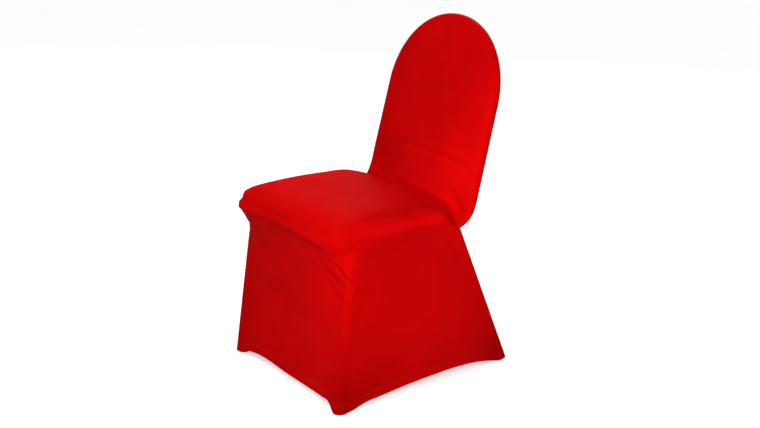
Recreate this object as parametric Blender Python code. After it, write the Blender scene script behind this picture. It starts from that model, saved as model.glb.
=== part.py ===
"""Fitted stretch cover for a round-top banquet chair, modelled as its sewn pieces.

The cover hangs as it does on its chair: x runs across the chair (right is +), y runs from
front to back and z up from the floor. Every panel is a thin sheet. The panels are first laid
out edge to edge as one skin, so that they share their seams, and then each is cut out of the
skin, thickened inwards and drawn back from its seams by half the seam gap.
"""

from collections import namedtuple
import math

import bmesh
import bpy
import numpy as np

# Cloth
CLOTH_THICKNESS = 0.002
SEAM_GAP = 0.0004
EVENING_PASSES = 4
SEAM_FOLD_SHARE = 0.4

# The whole cover; y is measured from the middle of its depth
TOTAL_HEIGHT = 0.9285
DEPTH_CENTRE = 0.0348

# Round-top back: a leaning pad with a rounded rim
BACK_LEAN = math.radians(15.5)
BACK_TOP_Y = 0.327
BACK_HALF_WIDTH_LOW = 0.227
BACK_HALF_WIDTH_ARCH = 0.222
BACK_LOW_Z = 0.450
ARCH_HEIGHT = 0.215
ARCH_POWER = 2.04
PAD_RADIUS = 0.016
PAD_RADIUS_AT_NOTCH = 0.007
PAD_STRAIGHT_FROM = 0.485
RIM_REACH = 1.3
FRONT_CROWN = 0.003

# Seat: a crowned cushion whose lower edge is a rounded rectangle
SEAT_HALF_WIDTH = 0.236
SEAT_FRONT_Y = -0.268
SEAT_CORNER_RADIUS = 0.050
BAND_FLARE_LENGTH = 0.150
CORNER_SHARE = 0.361
SEAT_CROWN_REACH = 0.100
SEAT_CROWN_POWER = 3.0
SEAT_EDGE_SOFTNESS = 0.014
EDGE_FADE = 0.35

# Legs under the cloth, straight tubes that splay to the floor
LEG_RADIUS = 0.018
LEG_FLOOR_X = 0.2357
LEG_SPLAY_X = 0.0297
FRONT_LEG_FLOOR_Y = -0.2515
FRONT_LEG_SPLAY_Y = -0.1414
REAR_LEG_FLOOR_Y = 0.2994
REAR_LEG_SPLAY_Y = 0.4113
WAIST_Z = 0.343
TUCK_DEPTH = 0.007
SIDE_HOLLOW = 0.006
NOTCH_Z = 0.414
HEM_Z = 0.020

# Foot pockets: cups that carry the chair's feet
POCKET_HEIGHT = 0.026
POCKET_WALL = 0.0016
POCKET_SEGMENTS = 16
POCKET_STRETCH = 1.25
POCKET_SET_IN = 0.009

# Keeps directions of no length from dividing by zero
TINY = 1e-9

# Mesh density: segments along each seam and across each panel
BACK_SIDE_SEGMENTS = 20
ARCH_SEGMENTS = 16
ARCH_POINTS = 60
RIM_SEGMENTS = 4
BAND_SEGMENTS = 11
BAND_CLOSENESS = 1.3
HEM_CLOSENESS = 0.7
CORNER_SEGMENTS = 6
SEAT_FRONT_SEGMENTS = 16
TUCK_SEGMENTS = 6

RED = (0.584, 0.003, 0.003, 1.0)

Row = namedtuple("Row", "y z")
CreasePoint = namedtuple("CreasePoint", "x y z")
Profile = namedtuple("Profile", "at z")
Fold = namedtuple("Fold", "panel start middle end depth width")
Leg = namedtuple("Leg", "floor_y splay_y facing")
RimStep = namedtuple("RimStep", "side_in side_up front_in front_up")
PocketStep = namedtuple("PocketStep", "radius z")
Reach = namedtuple("Reach", "right left")

FRONT_LEG = Leg(FRONT_LEG_FLOOR_Y, FRONT_LEG_SPLAY_Y, -1)
REAR_LEG = Leg(REAR_LEG_FLOOR_Y, REAR_LEG_SPLAY_Y, 1)

# How far along their rims the back and the seat bend to the crease between them
BACK_BEND = Reach(0.130, 0.130)
SEAT_BEND = Reach(0.120, 0.075)

# Lower corner of the back, from the notch at the seat up to where the pad runs straight
BACK_LOWER_CORNER = [
    Row(0.1500, 0.4205),
    Row(0.1690, 0.4315),
    Row(0.1840, 0.4480),
    Row(0.1945, 0.4670),
]

# Lower edge of the seat's side band, from the notch forward to where the seam turns down
BAND_SEAM = [
    Row(0.1190, 0.4240),
    Row(0.1075, 0.4335),
    Row(0.0880, 0.4395),
    Row(0.0500, 0.4425),
    Row(-0.0100, 0.4445),
    Row(-0.0800, 0.4460),
    Row(-0.1300, 0.4445),
]

# The same seam from there round the cushion's corner and down to the leg's waist
CORNER_SEAM = [
    Row(-0.1300, 0.4445),
    Row(-0.1520, 0.4350),
    Row(-0.1720, 0.4195),
    Row(-0.1870, 0.3990),
    Row(-0.1965, 0.3740),
    Row(-0.2030, WAIST_Z),
]

# Crease between seat and back, from the middle out to the notch
CREASE = [
    CreasePoint(0.000, 0.1810, 0.4625),
    CreasePoint(0.060, 0.1805, 0.4600),
    CreasePoint(0.110, 0.1795, 0.4560),
    CreasePoint(0.145, 0.1755, 0.4490),
    CreasePoint(0.175, 0.1670, 0.4355),
    CreasePoint(0.206, 0.1480, 0.4240),
    CreasePoint(0.230, 0.1325, 0.4175),
]

# Height of the cushion's lower edge round the front, by the share of the way from seam to middle
RING_HEIGHT = [
    Profile(0.00, 0.4445),
    Profile(0.25, 0.4420),
    Profile(0.40, 0.4380),
    Profile(0.60, 0.4400),
    Profile(1.00, 0.4470),
]

# Height of the band's upper edge and of the crown's ridge, by y
BAND_TOP = [
    Profile(-0.27, 0.4790),
    Profile(-0.20, 0.4700),
    Profile(-0.10, 0.4725),
    Profile(0.00, 0.4755),
    Profile(0.075, 0.4755),
    Profile(0.100, 0.4600),
    Profile(0.130, 0.4300),
    Profile(0.180, 0.4180),
]
LEFT_BAND_TOP = [
    Profile(-0.27, 0.4790),
    Profile(-0.20, 0.4700),
    Profile(-0.10, 0.4725),
    Profile(0.00, 0.4765),
    Profile(0.09, 0.4765),
    Profile(0.130, 0.4690),
    Profile(0.155, 0.4520),
    Profile(0.180, 0.4300),
]
CROWN = [
    Profile(-0.27, 0.4930),
    Profile(-0.20, 0.5000),
    Profile(-0.13, 0.5020),
    Profile(-0.06, 0.5005),
    Profile(0.02, 0.4945),
    Profile(0.09, 0.4875),
    Profile(0.145, 0.4780),
    Profile(0.181, 0.4625),
]

# Middle line of the front skirt, the rear panel's foot of the pad, and the rear skirt, by z
FRONT_SKIRT_MIDDLE = [
    Profile(0.018, -0.2580),
    Profile(0.11, -0.2450),
    Profile(0.20, -0.2390),
    Profile(WAIST_Z, -0.2430),
]
REAR_SKIRT_MIDDLE = [
    Profile(0.018, 0.3020),
    Profile(0.10, 0.2720),
    Profile(0.20, 0.2380),
    Profile(0.30, 0.2120),
    Profile(0.36, 0.2000),
    Profile(NOTCH_Z, 0.1970),
]

# Height of the hem: it arches between the feet and dips to them
FRONT_HEM = [
    Profile(-0.250, 0.0048),
    Profile(-0.222, 0.0080),
    Profile(-0.195, 0.0190),
    Profile(-0.160, 0.0250),
    Profile(0.020, 0.0235),
    Profile(0.180, 0.0265),
    Profile(0.205, 0.0270),
    Profile(0.219, 0.0200),
    Profile(0.231, 0.0090),
    Profile(0.240, 0.0050),
    Profile(0.250, 0.0048),
]
SIDE_HEM = [
    Profile(-0.255, 0.0048),
    Profile(-0.222, 0.0052),
    Profile(-0.208, 0.0085),
    Profile(-0.190, 0.0150),
    Profile(-0.168, 0.0200),
    Profile(-0.130, 0.0230),
    Profile(-0.060, 0.0262),
    Profile(0.030, 0.0275),
    Profile(0.120, 0.0275),
    Profile(0.170, 0.0245),
    Profile(0.205, 0.0200),
    Profile(0.240, 0.0130),
    Profile(0.268, 0.0065),
    Profile(0.300, 0.0048),
]
REAR_HEM = [
    Profile(-0.250, 0.0048),
    Profile(-0.190, 0.0110),
    Profile(-0.120, 0.0210),
    Profile(0.030, 0.0240),
    Profile(0.150, 0.0190),
    Profile(0.200, 0.0090),
    Profile(0.250, 0.0048),
]

# How the edge of the cushion rises from its lower edge: share inwards and up, side and front
SEAT_RIM = [
    RimStep(0.000, 0.0, 0.000, 0.000),
    RimStep(0.002, 0.36, 0.006, 0.011),
    RimStep(0.005, 0.72, 0.014, 0.023),
    RimStep(0.009, 1.0, 0.024, 0.035),
    RimStep(0.032, 1.0, 0.045, 0.046),
]

# Soft troughs where the cloth is pulled from the seat to the legs and across the back
FOLDS = [
    Fold("front_panel", (0.105, -0.262, 0.430), (0.170, -0.240, 0.402),
         (0.246, -0.212, 0.352), 0.0065, 0.0085),
    Fold("front_panel", (0.078, -0.258, 0.408), (0.150, -0.240, 0.366),
         (0.240, -0.219, 0.328), 0.0050, 0.0080),
    Fold("front_panel", (0.150, -0.240, 0.352), (0.190, -0.234, 0.318),
         (0.240, -0.228, 0.292), 0.0030, 0.0080),
    Fold("front_panel", (-0.130, -0.262, 0.428), (-0.185, -0.240, 0.396),
         (-0.243, -0.212, 0.350), 0.0060, 0.0090),
    Fold("front_panel", (-0.200, -0.262, 0.432), (-0.212, -0.245, 0.405),
         (-0.236, -0.222, 0.362), 0.0035, 0.0080),
    Fold("front_panel", (-0.180, 0.214, 0.565), (0.000, 0.212, 0.574),
         (0.190, 0.212, 0.560), 0.0030, 0.0110),
    Fold("front_panel", (-0.085, 0.203, 0.535), (-0.040, 0.203, 0.537),
         (0.010, 0.203, 0.532), 0.0020, 0.0090),
    Fold("rear_panel", (-0.216, 0.160, 0.396), (-0.120, 0.200, 0.412),
         (-0.030, 0.208, 0.440), 0.0050, 0.0120),
    Fold("rear_panel", (0.214, 0.160, 0.394), (0.130, 0.197, 0.408),
         (0.040, 0.206, 0.434), 0.0050, 0.0120),
    Fold("rear_panel", (-0.205, 0.188, 0.346), (-0.150, 0.200, 0.352),
         (-0.060, 0.204, 0.385), 0.0030, 0.0110),
    Fold("right_skirt", (0.240, 0.082, 0.410), (0.241, 0.108, 0.380),
         (0.242, 0.132, 0.330), 0.0025, 0.0100),
    Fold("left_skirt", (-0.240, -0.100, 0.418), (-0.241, -0.145, 0.385),
         (-0.243, -0.165, 0.340), 0.0030, 0.0110),
    Fold("left_skirt", (-0.240, 0.070, 0.412), (-0.241, 0.100, 0.380),
         (-0.242, 0.130, 0.326), 0.0030, 0.0110),
]

# Outside of a foot pocket: a flat foot and a flange below the hem, then a sleeve inside it
POCKET_PROFILE = [
    PocketStep(0.0140, 0.0000),
    PocketStep(0.0166, 0.0010),
    PocketStep(0.0176, 0.0024),
    PocketStep(0.0174, 0.0042),
    PocketStep(0.0136, 0.0044),
    PocketStep(0.0136, POCKET_HEIGHT),
]

PANELS = ["front_panel", "rear_panel", "right_skirt", "left_skirt"]


def read_profile(rows, at):
    """Smoothly interpolate a table of Profile rows at the places given."""
    places = np.array([row.at for row in rows])
    values = np.array([row.z for row in rows])
    slopes = np.gradient(values, places)
    at = np.clip(at, places[0], places[-1])
    index = np.clip(np.searchsorted(places, at, side="right") - 1, 0, len(rows) - 2)
    span = places[index + 1] - places[index]
    t = (at - places[index]) / span
    start, end = values[index], values[index + 1]
    return (
        start * (1 + 2 * t) * (1 - t) ** 2
        + slopes[index] * span * t * (1 - t) ** 2
        + end * t * t * (3 - 2 * t)
        - slopes[index + 1] * span * t * t * (1 - t)
    )


def smooth_curve(points, steps=12):
    """Run a Catmull-Rom curve through a few points."""
    points = np.array(points, dtype=float)
    padded = np.vstack([2 * points[0] - points[1], points, 2 * points[-1] - points[-2]])
    curve = []
    for i in range(1, len(padded) - 2):
        before, start, end, after = padded[i - 1: i + 3]
        for t in np.arange(steps) / steps:
            curve.append(
                start
                + 0.5 * t * (end - before)
                + t * t * (before - 2.5 * start + 2 * end - 0.5 * after)
                + t ** 3 * (1.5 * (start - end) + 0.5 * (after - before))
            )
    curve.append(points[-1])
    return np.array(curve)


def spread(curve, shares):
    """Take points on a dense curve at the given shares of its length."""
    lengths = np.concatenate([[0], np.cumsum(np.linalg.norm(np.diff(curve, axis=0), axis=1))])
    wanted = np.asarray(shares) * lengths[-1]
    return np.stack([np.interp(wanted, lengths, curve[:, axis]) for axis in range(3)], axis=1)


def even(segments, power=1.0):
    """Return shares from 0 to 1, closer together at the start where power is above 1."""
    return (np.arange(segments + 1) / segments) ** power


def fade(distance, reach):
    """Fall smoothly from 1 at no distance to 0 at the reach."""
    t = np.clip(np.asarray(distance) / reach, 0, 1)
    return (1 - t) ** 2 * (1 + 2 * t)


def bulge(u, v):
    """Rise smoothly from 0 at a patch's edges to 1 in its middle."""
    return 16 * u * (1 - u) * v * (1 - v)


def unit(vectors):
    """Scale rows of vectors to length one."""
    return vectors / np.linalg.norm(vectors, axis=-1, keepdims=True)


def length_shares(first, second):
    """Shares of the way along two opposite edges, averaged between the two."""
    shares = 0
    for edge in (first, second):
        steps = np.linalg.norm(np.diff(edge, axis=0), axis=1)
        shares = shares + np.concatenate([[0], np.cumsum(steps)]) / steps.sum() / 2
    return shares


def coons(bottom, top, left, right):
    """Fill four edges with a patch; bottom and top run along u, left and right along v."""
    u = length_shares(bottom, top)[None, :, None]
    v = length_shares(left, right)[:, None, None]
    along = (1 - v) * bottom[None] + v * top[None]
    across = (1 - u) * left[:, None] + u * right[:, None]
    corners = (1 - v) * ((1 - u) * bottom[0] + u * bottom[-1]) + v * ((1 - u) * top[0] + u * top[-1])
    return along + across - corners


def faded_edges(values):
    """Keep a grid's values at its edges and fade them out towards its middle."""
    u = np.linspace(0, 1, values.shape[1])[None, :]
    v = np.linspace(0, 1, values.shape[0])[:, None]
    left, right = fade(u, EDGE_FADE), fade(1 - u, EDGE_FADE)
    near, far = fade(v, EDGE_FADE), fade(1 - v, EDGE_FADE)
    edges = near * values[:1] + far * values[-1:] + left * values[:, :1] + right * values[:, -1:]
    near_corners = near * (left * values[0, 0] + right * values[0, -1])
    far_corners = far * (left * values[-1, 0] + right * values[-1, -1])
    return edges - near_corners - far_corners


def mirrored(points):
    """Mirror points from the right half to the left."""
    return points * np.array([-1.0, 1.0, 1.0])


def leg_centre(leg, z):
    """Centre of a right leg at a height."""
    return LEG_FLOOR_X - LEG_SPLAY_X * z, leg.floor_y - leg.splay_y * z


def notch():
    """Point at which the back, the band and the right rear leg's seams meet."""
    x, y = leg_centre(REAR_LEG, NOTCH_Z)
    return x + LEG_RADIUS, y, NOTCH_Z


# The back's outline and its rim


def pad_middle_y(z):
    """Depth of the pad's middle plane at a height."""
    return BACK_TOP_Y - (TOTAL_HEIGHT - z) * math.tan(BACK_LEAN)


def back_outline_curve():
    """Dense outline of the back's right half, from the notch to the top of the arch."""
    arch_foot = TOTAL_HEIGHT - ARCH_HEIGHT
    narrowing = (notch()[0] - BACK_HALF_WIDTH_LOW) / (len(BACK_LOWER_CORNER) + 1)
    lower = [notch()]
    for row in BACK_LOWER_CORNER:
        lower.append((lower[-1][0] - narrowing, row.y, row.z))
    straight = []
    for z in np.linspace(PAD_STRAIGHT_FROM, arch_foot, 6):
        share = (z - BACK_LOW_Z) / (arch_foot - BACK_LOW_Z)
        width = BACK_HALF_WIDTH_LOW + (BACK_HALF_WIDTH_ARCH - BACK_HALF_WIDTH_LOW) * share
        straight.append((width, pad_middle_y(z), z))
    angles = np.linspace(0, math.pi / 2, ARCH_POINTS)
    x = BACK_HALF_WIDTH_ARCH * np.cos(angles) ** (2 / ARCH_POWER)
    z = arch_foot + ARCH_HEIGHT * np.sin(angles) ** (2 / ARCH_POWER)
    arch = np.stack([x, pad_middle_y(z), z], axis=1)
    return np.vstack([smooth_curve(lower + straight), arch[1:]])


def back_outline():
    """Outline points from the right notch over the arch to the left notch."""
    curve = back_outline_curve()
    lengths = np.concatenate([[0], np.cumsum(np.linalg.norm(np.diff(curve, axis=0), axis=1))])
    corner_x = BACK_HALF_WIDTH_ARCH * math.cos(math.pi / 4)
    arch_x, arch_lengths = curve[: -ARCH_POINTS: -1, 0], lengths[: -ARCH_POINTS: -1]
    corner = np.interp(corner_x, arch_x, arch_lengths) / lengths[-1]
    side = spread(curve, corner * even(BACK_SIDE_SEGMENTS, 1.2))
    top = spread(curve, corner + (1 - corner) * even(ARCH_SEGMENTS // 2))
    right = np.vstack([side, top[1:]])
    return np.vstack([right, mirrored(right[-2::-1])])


def back_rim(facing):
    """Rounded rim of the pad's front (facing 1) or rear (facing -1), a row for each outline point."""
    outline = back_outline()
    tangent = unit(np.gradient(outline, axis=0))
    tangent[0], tangent[-1] = tangent[1], tangent[-2]
    low = fade(outline[:, 2] - NOTCH_Z, PAD_STRAIGHT_FROM - NOTCH_Z)[:, None]
    climb = tangent * np.where(np.arange(len(outline)) < len(outline) // 2, 1, -1)[:, None]
    low_normal = unit(np.stack([0 * climb[:, 0], -climb[:, 2], np.abs(climb[:, 1])], axis=1) + TINY)
    pad_normal = np.array([0, -math.cos(BACK_LEAN), math.sin(BACK_LEAN)])
    normal = unit(low_normal * low + pad_normal * (1 - low))
    inward = unit(np.cross(normal, tangent))
    towards_middle = np.array([0, pad_middle_y(0.65), 0.65]) - outline
    inward *= np.sign((inward * towards_middle).sum(axis=1))[:, None]
    radius = PAD_RADIUS + (PAD_RADIUS_AT_NOTCH - PAD_RADIUS) * low
    rim = []
    for step in range(RIM_SEGMENTS):
        angle = math.pi / 2 * step / (RIM_SEGMENTS - 1)
        across = inward * (1 - math.cos(angle)) + normal * facing * math.sin(angle)
        rim.append(outline + across * radius)
    rim.append(rim[-1] + inward * radius * RIM_REACH)
    return np.stack(rim, axis=1)


def pinned(rim, row, reach):
    """Bend a rim's right and left ends to the row that they meet, fading along the rim."""
    right_shift = row[: RIM_SEGMENTS + 1] - rim[0]
    left_shift = row[::-1][: RIM_SEGMENTS + 1] - rim[-1]
    steps = np.linalg.norm(np.diff(rim[:, 0], axis=0), axis=1)
    along = np.concatenate([[0], np.cumsum(steps)])
    right_fade = fade(along, reach.right)[:, None, None]
    left_fade = fade(along[-1] - along, reach.left)[:, None, None]
    return rim + right_shift[None] * right_fade + left_shift[None] * left_fade


def full_row(half):
    """Join a right half row, from the seam to the middle, with its mirror image."""
    return np.vstack([half, mirrored(half[-2::-1])])


def row_shares(rim_reach, length):
    """Shares along a half row: close steps over the rim, then even ones to the middle."""
    rim = np.linspace(0, rim_reach / length, RIM_SEGMENTS + 1)
    inner = np.linspace(rim_reach / length, 1, ARCH_SEGMENTS // 2 + 1)
    return np.concatenate([rim, inner[1:]])


def crease_row():
    """Crease between seat and back, from the right notch to the left one."""
    curve = smooth_curve([notch()] + CREASE[::-1])
    return full_row(spread(curve, row_shares(0.036, 0.262)))


def back_panel_parts(facing, lower_row, crown):
    """Rim and middle of the back's front or rear face, which ends below in the given row."""
    rim = pinned(back_rim(facing), lower_row, BACK_BEND)
    side, top = BACK_SIDE_SEGMENTS, BACK_SIDE_SEGMENTS + ARCH_SEGMENTS
    inner = rim[:, -1]
    lower = lower_row[RIM_SEGMENTS: -RIM_SEGMENTS]
    middle = coons(lower, inner[side: top + 1], inner[: side + 1], inner[: top - 1: -1])
    u = np.linspace(0, 1, middle.shape[1])[None, :]
    v = np.linspace(0, 1, middle.shape[0])[:, None]
    face_y = pad_middle_y(middle[..., 2]) - facing * PAD_RADIUS / math.cos(BACK_LEAN)
    middle[..., 1] = face_y + faded_edges(middle[..., 1] - face_y)
    swell = crown * facing * bulge(u, v)[..., None]
    middle = middle + swell * np.array([0, -math.cos(BACK_LEAN), math.sin(BACK_LEAN)])
    return [rim, middle]


# The seat


def ring_half():
    """Front half of the cushion's lower edge, dense, from the right seam's turn to the middle."""
    turn = BAND_SEAM[-1]
    corner_x = SEAT_HALF_WIDTH - SEAT_CORNER_RADIUS
    corner_y = SEAT_FRONT_Y + SEAT_CORNER_RADIUS
    side = [(SEAT_HALF_WIDTH, y, 0) for y in np.linspace(turn.y, corner_y, 10)]
    arc = [(corner_x + SEAT_CORNER_RADIUS * math.cos(a), corner_y - SEAT_CORNER_RADIUS * math.sin(a), 0)
           for a in np.linspace(0, math.pi / 2, 16)[1:]]
    front = [(x, SEAT_FRONT_Y, 0) for x in np.linspace(corner_x, 0, 20)[1:]]
    return np.array(side + arc + front)


def ring_shares(power=1.0):
    """Shares from the seam's turn to the middle, with a fixed share at the corner's middle."""
    side = CORNER_SHARE * np.arange(CORNER_SEGMENTS) / CORNER_SEGMENTS
    front = CORNER_SHARE + (1 - CORNER_SHARE) * even(SEAT_FRONT_SEGMENTS // 2)
    return np.concatenate([side, front]) ** power


def ring_front():
    """Cushion's lower edge from the right seam's turn round the front to the left one."""
    shares = ring_shares()
    half = spread(ring_half(), shares)
    half[:, 2] = read_profile(RING_HEIGHT, shares)
    return full_row(half)


def band_seam():
    """Lower edge of the right band, from the notch to the seam's turn."""
    rows = [notch()]
    for row in BAND_SEAM:
        flare = fade(notch()[1] - row.y, BAND_FLARE_LENGTH) * (notch()[0] - SEAT_HALF_WIDTH)
        rows.append((SEAT_HALF_WIDTH + flare, row.y, row.z))
    return spread(smooth_curve(rows), even(BAND_SEGMENTS, BAND_CLOSENESS))


def seat_ring():
    """Whole lower edge of the cushion, from the right notch round the front to the left notch."""
    band = band_seam()
    return np.vstack([band[:-1], ring_front(), mirrored(band[-2::-1])])


def band_top(x, y):
    """Height of the band's upper edge, which stays high further back on the left."""
    return np.where(x < 0, read_profile(LEFT_BAND_TOP, y), read_profile(BAND_TOP, y))


def seat_height(x, y):
    """Height of the cushion's top, crowned inside its edges."""
    side = SEAT_HALF_WIDTH - np.abs(x)
    front = y - SEAT_FRONT_Y
    nearness = np.exp(-side / SEAT_EDGE_SOFTNESS) + np.exp(-front / SEAT_EDGE_SOFTNESS)
    inset = -SEAT_EDGE_SOFTNESS * np.log(nearness)
    rise = 1 - (1 - np.clip(inset / SEAT_CROWN_REACH, 0, 1)) ** SEAT_CROWN_POWER
    edge = band_top(x, y)
    return edge + (read_profile(CROWN, y) - edge) * rise


def seat_rim():
    """Band and rounded front edge of the cushion, a row for each point of its lower edge."""
    ring = seat_ring()
    tangent = unit(np.gradient(ring[:, :2], axis=0))
    inward = np.stack([tangent[:, 1], -tangent[:, 0]], axis=1)
    inward *= -np.sign((inward * (ring[:, :2] - np.array([0, -0.05]))).sum(axis=1))[:, None]
    on_band = ring[:, 1] > BAND_SEAM[-1].y
    inward[on_band] = np.sign(ring[on_band, :1]) * np.array([-1.0, 0.0])
    frontness = np.clip(inward[:, 1], 0, 1)[:, None] ** 1.5
    rise = band_top(ring[:, 0], ring[:, 1])[:, None] - ring[:, 2:]
    rim = []
    for step in SEAT_RIM:
        inset = step.side_in * (1 - frontness) + step.front_in * frontness
        up = step.side_up * rise * (1 - frontness) + step.front_up * frontness
        rim.append(np.hstack([ring[:, :2] + inward * inset, ring[:, 2:] + up]))
    last = rim[-1]
    last[:, 2] = seat_height(last[:, 0], last[:, 1])
    return np.stack(rim, axis=1)


def seat_parts(crease):
    """Rim and top of the seat, which meets the back in the crease row."""
    rim = pinned(seat_rim(), crease, SEAT_BEND)
    side = BAND_SEGMENTS + CORNER_SEGMENTS
    front = side + SEAT_FRONT_SEGMENTS
    inner = rim[:, -1]
    rear = crease[RIM_SEGMENTS: -RIM_SEGMENTS]
    top = coons(rear, inner[side: front + 1], inner[: side + 1], inner[: front - 1: -1])
    wanted = seat_height(top[..., 0], top[..., 1])
    gap = top.copy()
    gap[..., 2] -= wanted
    top[..., 2] = wanted + faded_edges(gap[..., 2])
    return [rim, top]


# The skirts


def leg_section(leg, z, middle_y):
    """Half section of a skirt at a height: round the leg's outside and on to the middle."""
    x, y = leg_centre(leg, z)
    arc = [(x + LEG_RADIUS * math.cos(a), y + leg.facing * LEG_RADIUS * math.sin(a), z)
           for a in np.linspace(0, math.pi / 2, 12)]
    across = np.linspace(1, 0, 24)[1:]
    tangent_y = y + leg.facing * LEG_RADIUS
    power = 2.0
    if leg.facing > 0 and z > WAIST_Z:
        power += 2.0 * (z - WAIST_Z) / (NOTCH_Z - WAIST_Z)
    flat = [(x * s, tangent_y + (middle_y - tangent_y) * (1 - s ** power), z) for s in across]
    return np.array(arc + flat)


def skirt_rows(leg, middle, hem, shares, top_z):
    """Rows of a front or rear skirt from the waist down to the hem, on both sides."""
    rows = []
    for share in skirt_levels()[1:]:
        left_and_right = []
        for side in (1, -1):
            lowest = spread(leg_section(leg, HEM_Z, read_profile(middle, HEM_Z)), shares)
            hem_z = read_profile(hem, side * lowest[:, 0])
            half = np.zeros((len(shares), 3))
            for i, foot in enumerate(hem_z):
                z = top_z + (foot - top_z) * share
                section = leg_section(leg, z, read_profile(middle, z))
                half[i] = spread(section, [shares[i]])[0]
            left_and_right.append(half)
        right, left = left_and_right
        rows.append(np.vstack([right, mirrored(left[-2::-1])]))
    return rows


def skirt_levels():
    """Shares of the way down a leg, closer at the hem."""
    return np.array([0, 0.16, 0.32, 0.48, 0.64, 0.79, 0.91, 0.965, 1.0])


def corner_seam():
    """Seam round the cushion's corner, from its turn down to the leg's waist."""
    leg_x = leg_centre(FRONT_LEG, WAIST_Z)[0] + LEG_RADIUS
    steps = len(CORNER_SEAM) - 1
    narrowing = (leg_x - SEAT_HALF_WIDTH) / steps
    rows = [(SEAT_HALF_WIDTH + narrowing * i, row.y, row.z) for i, row in enumerate(CORNER_SEAM)]
    return spread(smooth_curve(rows), even(TUCK_SEGMENTS))


def front_skirt():
    """Front skirt from the cushion's lower edge to the hem, pulled in to the legs at the waist."""
    shares = ring_shares(1.3)
    ring = ring_front()
    waist_y = read_profile(FRONT_SKIRT_MIDDLE, WAIST_Z)
    waist = full_row(spread(leg_section(FRONT_LEG, WAIST_Z, waist_y), shares))
    seam = corner_seam()
    count = len(ring)
    from_seam = np.minimum(np.arange(count), count - 1 - np.arange(count)) / (count / 2)
    near_seam = fade(from_seam, 0.45)[:, None]
    side = np.where(np.arange(count) < count / 2, 1.0, -1.0)[:, None]
    rows = [ring]
    for i in range(1, TUCK_SEGMENTS + 1):
        share = i / TUCK_SEGMENTS
        row = ring + (waist - ring) * share
        shift = np.tile(seam[i] - row[0], (count, 1))
        shift[:, :1] *= side
        row = row + shift * near_seam
        tuck = TUCK_DEPTH * math.sin(math.pi * min(1.0, share * 1.5)) * (1 - near_seam)
        rows.append(row + tuck * np.array([0, 1, 0]))
    rows += skirt_rows(FRONT_LEG, FRONT_SKIRT_MIDDLE, FRONT_HEM, shares, WAIST_Z)
    return np.array(rows)


def rear_row_shares():
    """Shares along a half row of the rear skirt: the leg's round, then on to the middle."""
    section = leg_section(REAR_LEG, WAIST_Z, 0.2)
    length = np.linalg.norm(np.diff(section, axis=0), axis=1).sum()
    return row_shares(math.pi / 2 * LEG_RADIUS * 1.3, length)


def rear_notch_row():
    """Row across the rear panel at the height of the notch."""
    return full_row(spread(leg_section(REAR_LEG, NOTCH_Z, REAR_SKIRT_MIDDLE[-1].z), rear_row_shares()))


def rear_skirt():
    """Rear skirt from the notch down to the hem."""
    shares = rear_row_shares()
    rows = [rear_notch_row()]
    drop = NOTCH_Z - WAIST_Z
    for i in range(1, TUCK_SEGMENTS + 1):
        z = NOTCH_Z - drop * i / TUCK_SEGMENTS
        section = leg_section(REAR_LEG, z, read_profile(REAR_SKIRT_MIDDLE, z))
        rows.append(full_row(spread(section, shares)))
    rows += skirt_rows(REAR_LEG, REAR_SKIRT_MIDDLE, REAR_HEM, shares, WAIST_Z)
    return np.array(rows)


def side_skirt(side, front, rear):
    """Side skirt between the front and rear leg seams, under the band."""
    column = 0 if side > 0 else -1
    top = band_seam()[::-1]
    if side < 0:
        top = mirrored(top)
    front_edge, rear_edge = front[:, column], rear[:, column]
    shares = even(BAND_SEGMENTS)
    shares -= HEM_CLOSENESS * np.sin(math.tau * shares) / math.tau
    hem = front_edge[-1] + (rear_edge[-1] - front_edge[-1]) * shares[:, None]
    hem[1:-1, 2] = read_profile(SIDE_HEM, hem[1:-1, 1])
    patch = coons(top, hem, front_edge, rear_edge)
    u = np.linspace(0, 1, patch.shape[1])[None, :]
    v = np.linspace(0, 1, patch.shape[0])[:, None]
    patch[..., 0] -= side * SIDE_HOLLOW * bulge(u, v)
    return patch


# Sewing the skin and cutting it into pieces


def add_patch(skin, points, panel):
    """Lay a grid of points into the skin as one patch of a panel."""
    rows, columns = points.shape[:2]
    grid = bmesh.ops.create_grid(skin, x_segments=columns - 1, y_segments=rows - 1, size=1.0)
    for vertex, place in zip(grid["verts"], points.reshape(-1, 3)):
        vertex.co = place - np.array([0, DEPTH_CENTRE, 0])
    for face in {face for vertex in grid["verts"] for face in vertex.link_faces}:
        face.material_index = PANELS.index(panel)


def sew_skin():
    """Build every panel edge to edge as one welded skin with its faces pointing out."""
    skin = bmesh.new()
    crease = crease_row()
    front, rear = front_skirt(), rear_skirt()
    for patch in back_panel_parts(1, crease, FRONT_CROWN) + seat_parts(crease) + [front]:
        add_patch(skin, patch, "front_panel")
    for patch in back_panel_parts(-1, rear_notch_row(), 0.0) + [rear]:
        add_patch(skin, patch, "rear_panel")
    add_patch(skin, side_skirt(1, front, rear), "right_skirt")
    add_patch(skin, side_skirt(-1, front, rear), "left_skirt")
    bmesh.ops.remove_doubles(skin, verts=skin.verts, dist=1e-5)
    bmesh.ops.recalc_face_normals(skin, faces=skin.faces)
    top = max(skin.faces, key=lambda face: face.calc_center_median().z)
    if top.normal.z < 0:
        bmesh.ops.reverse_faces(skin, faces=skin.faces)
    skin.normal_update()
    return skin


def fold_depth(place, fold):
    """Depth of a fold's trough at a place."""
    nearest, share = 1.0, 0.0
    corners = np.array([fold.start, fold.middle, fold.end]) - np.array([0, DEPTH_CENTRE, 0])
    for i in range(2):
        run = corners[i + 1] - corners[i]
        t = np.clip(np.dot(place - corners[i], run) / np.dot(run, run), 0, 1)
        distance = np.linalg.norm(place - corners[i] - t * run)
        if distance < nearest:
            nearest, share = distance, (i + t) / 2
    along = math.sin(math.pi * (0.12 + 0.76 * share))
    return fold.depth * along * math.exp(-(nearest / fold.width) ** 2)


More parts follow.
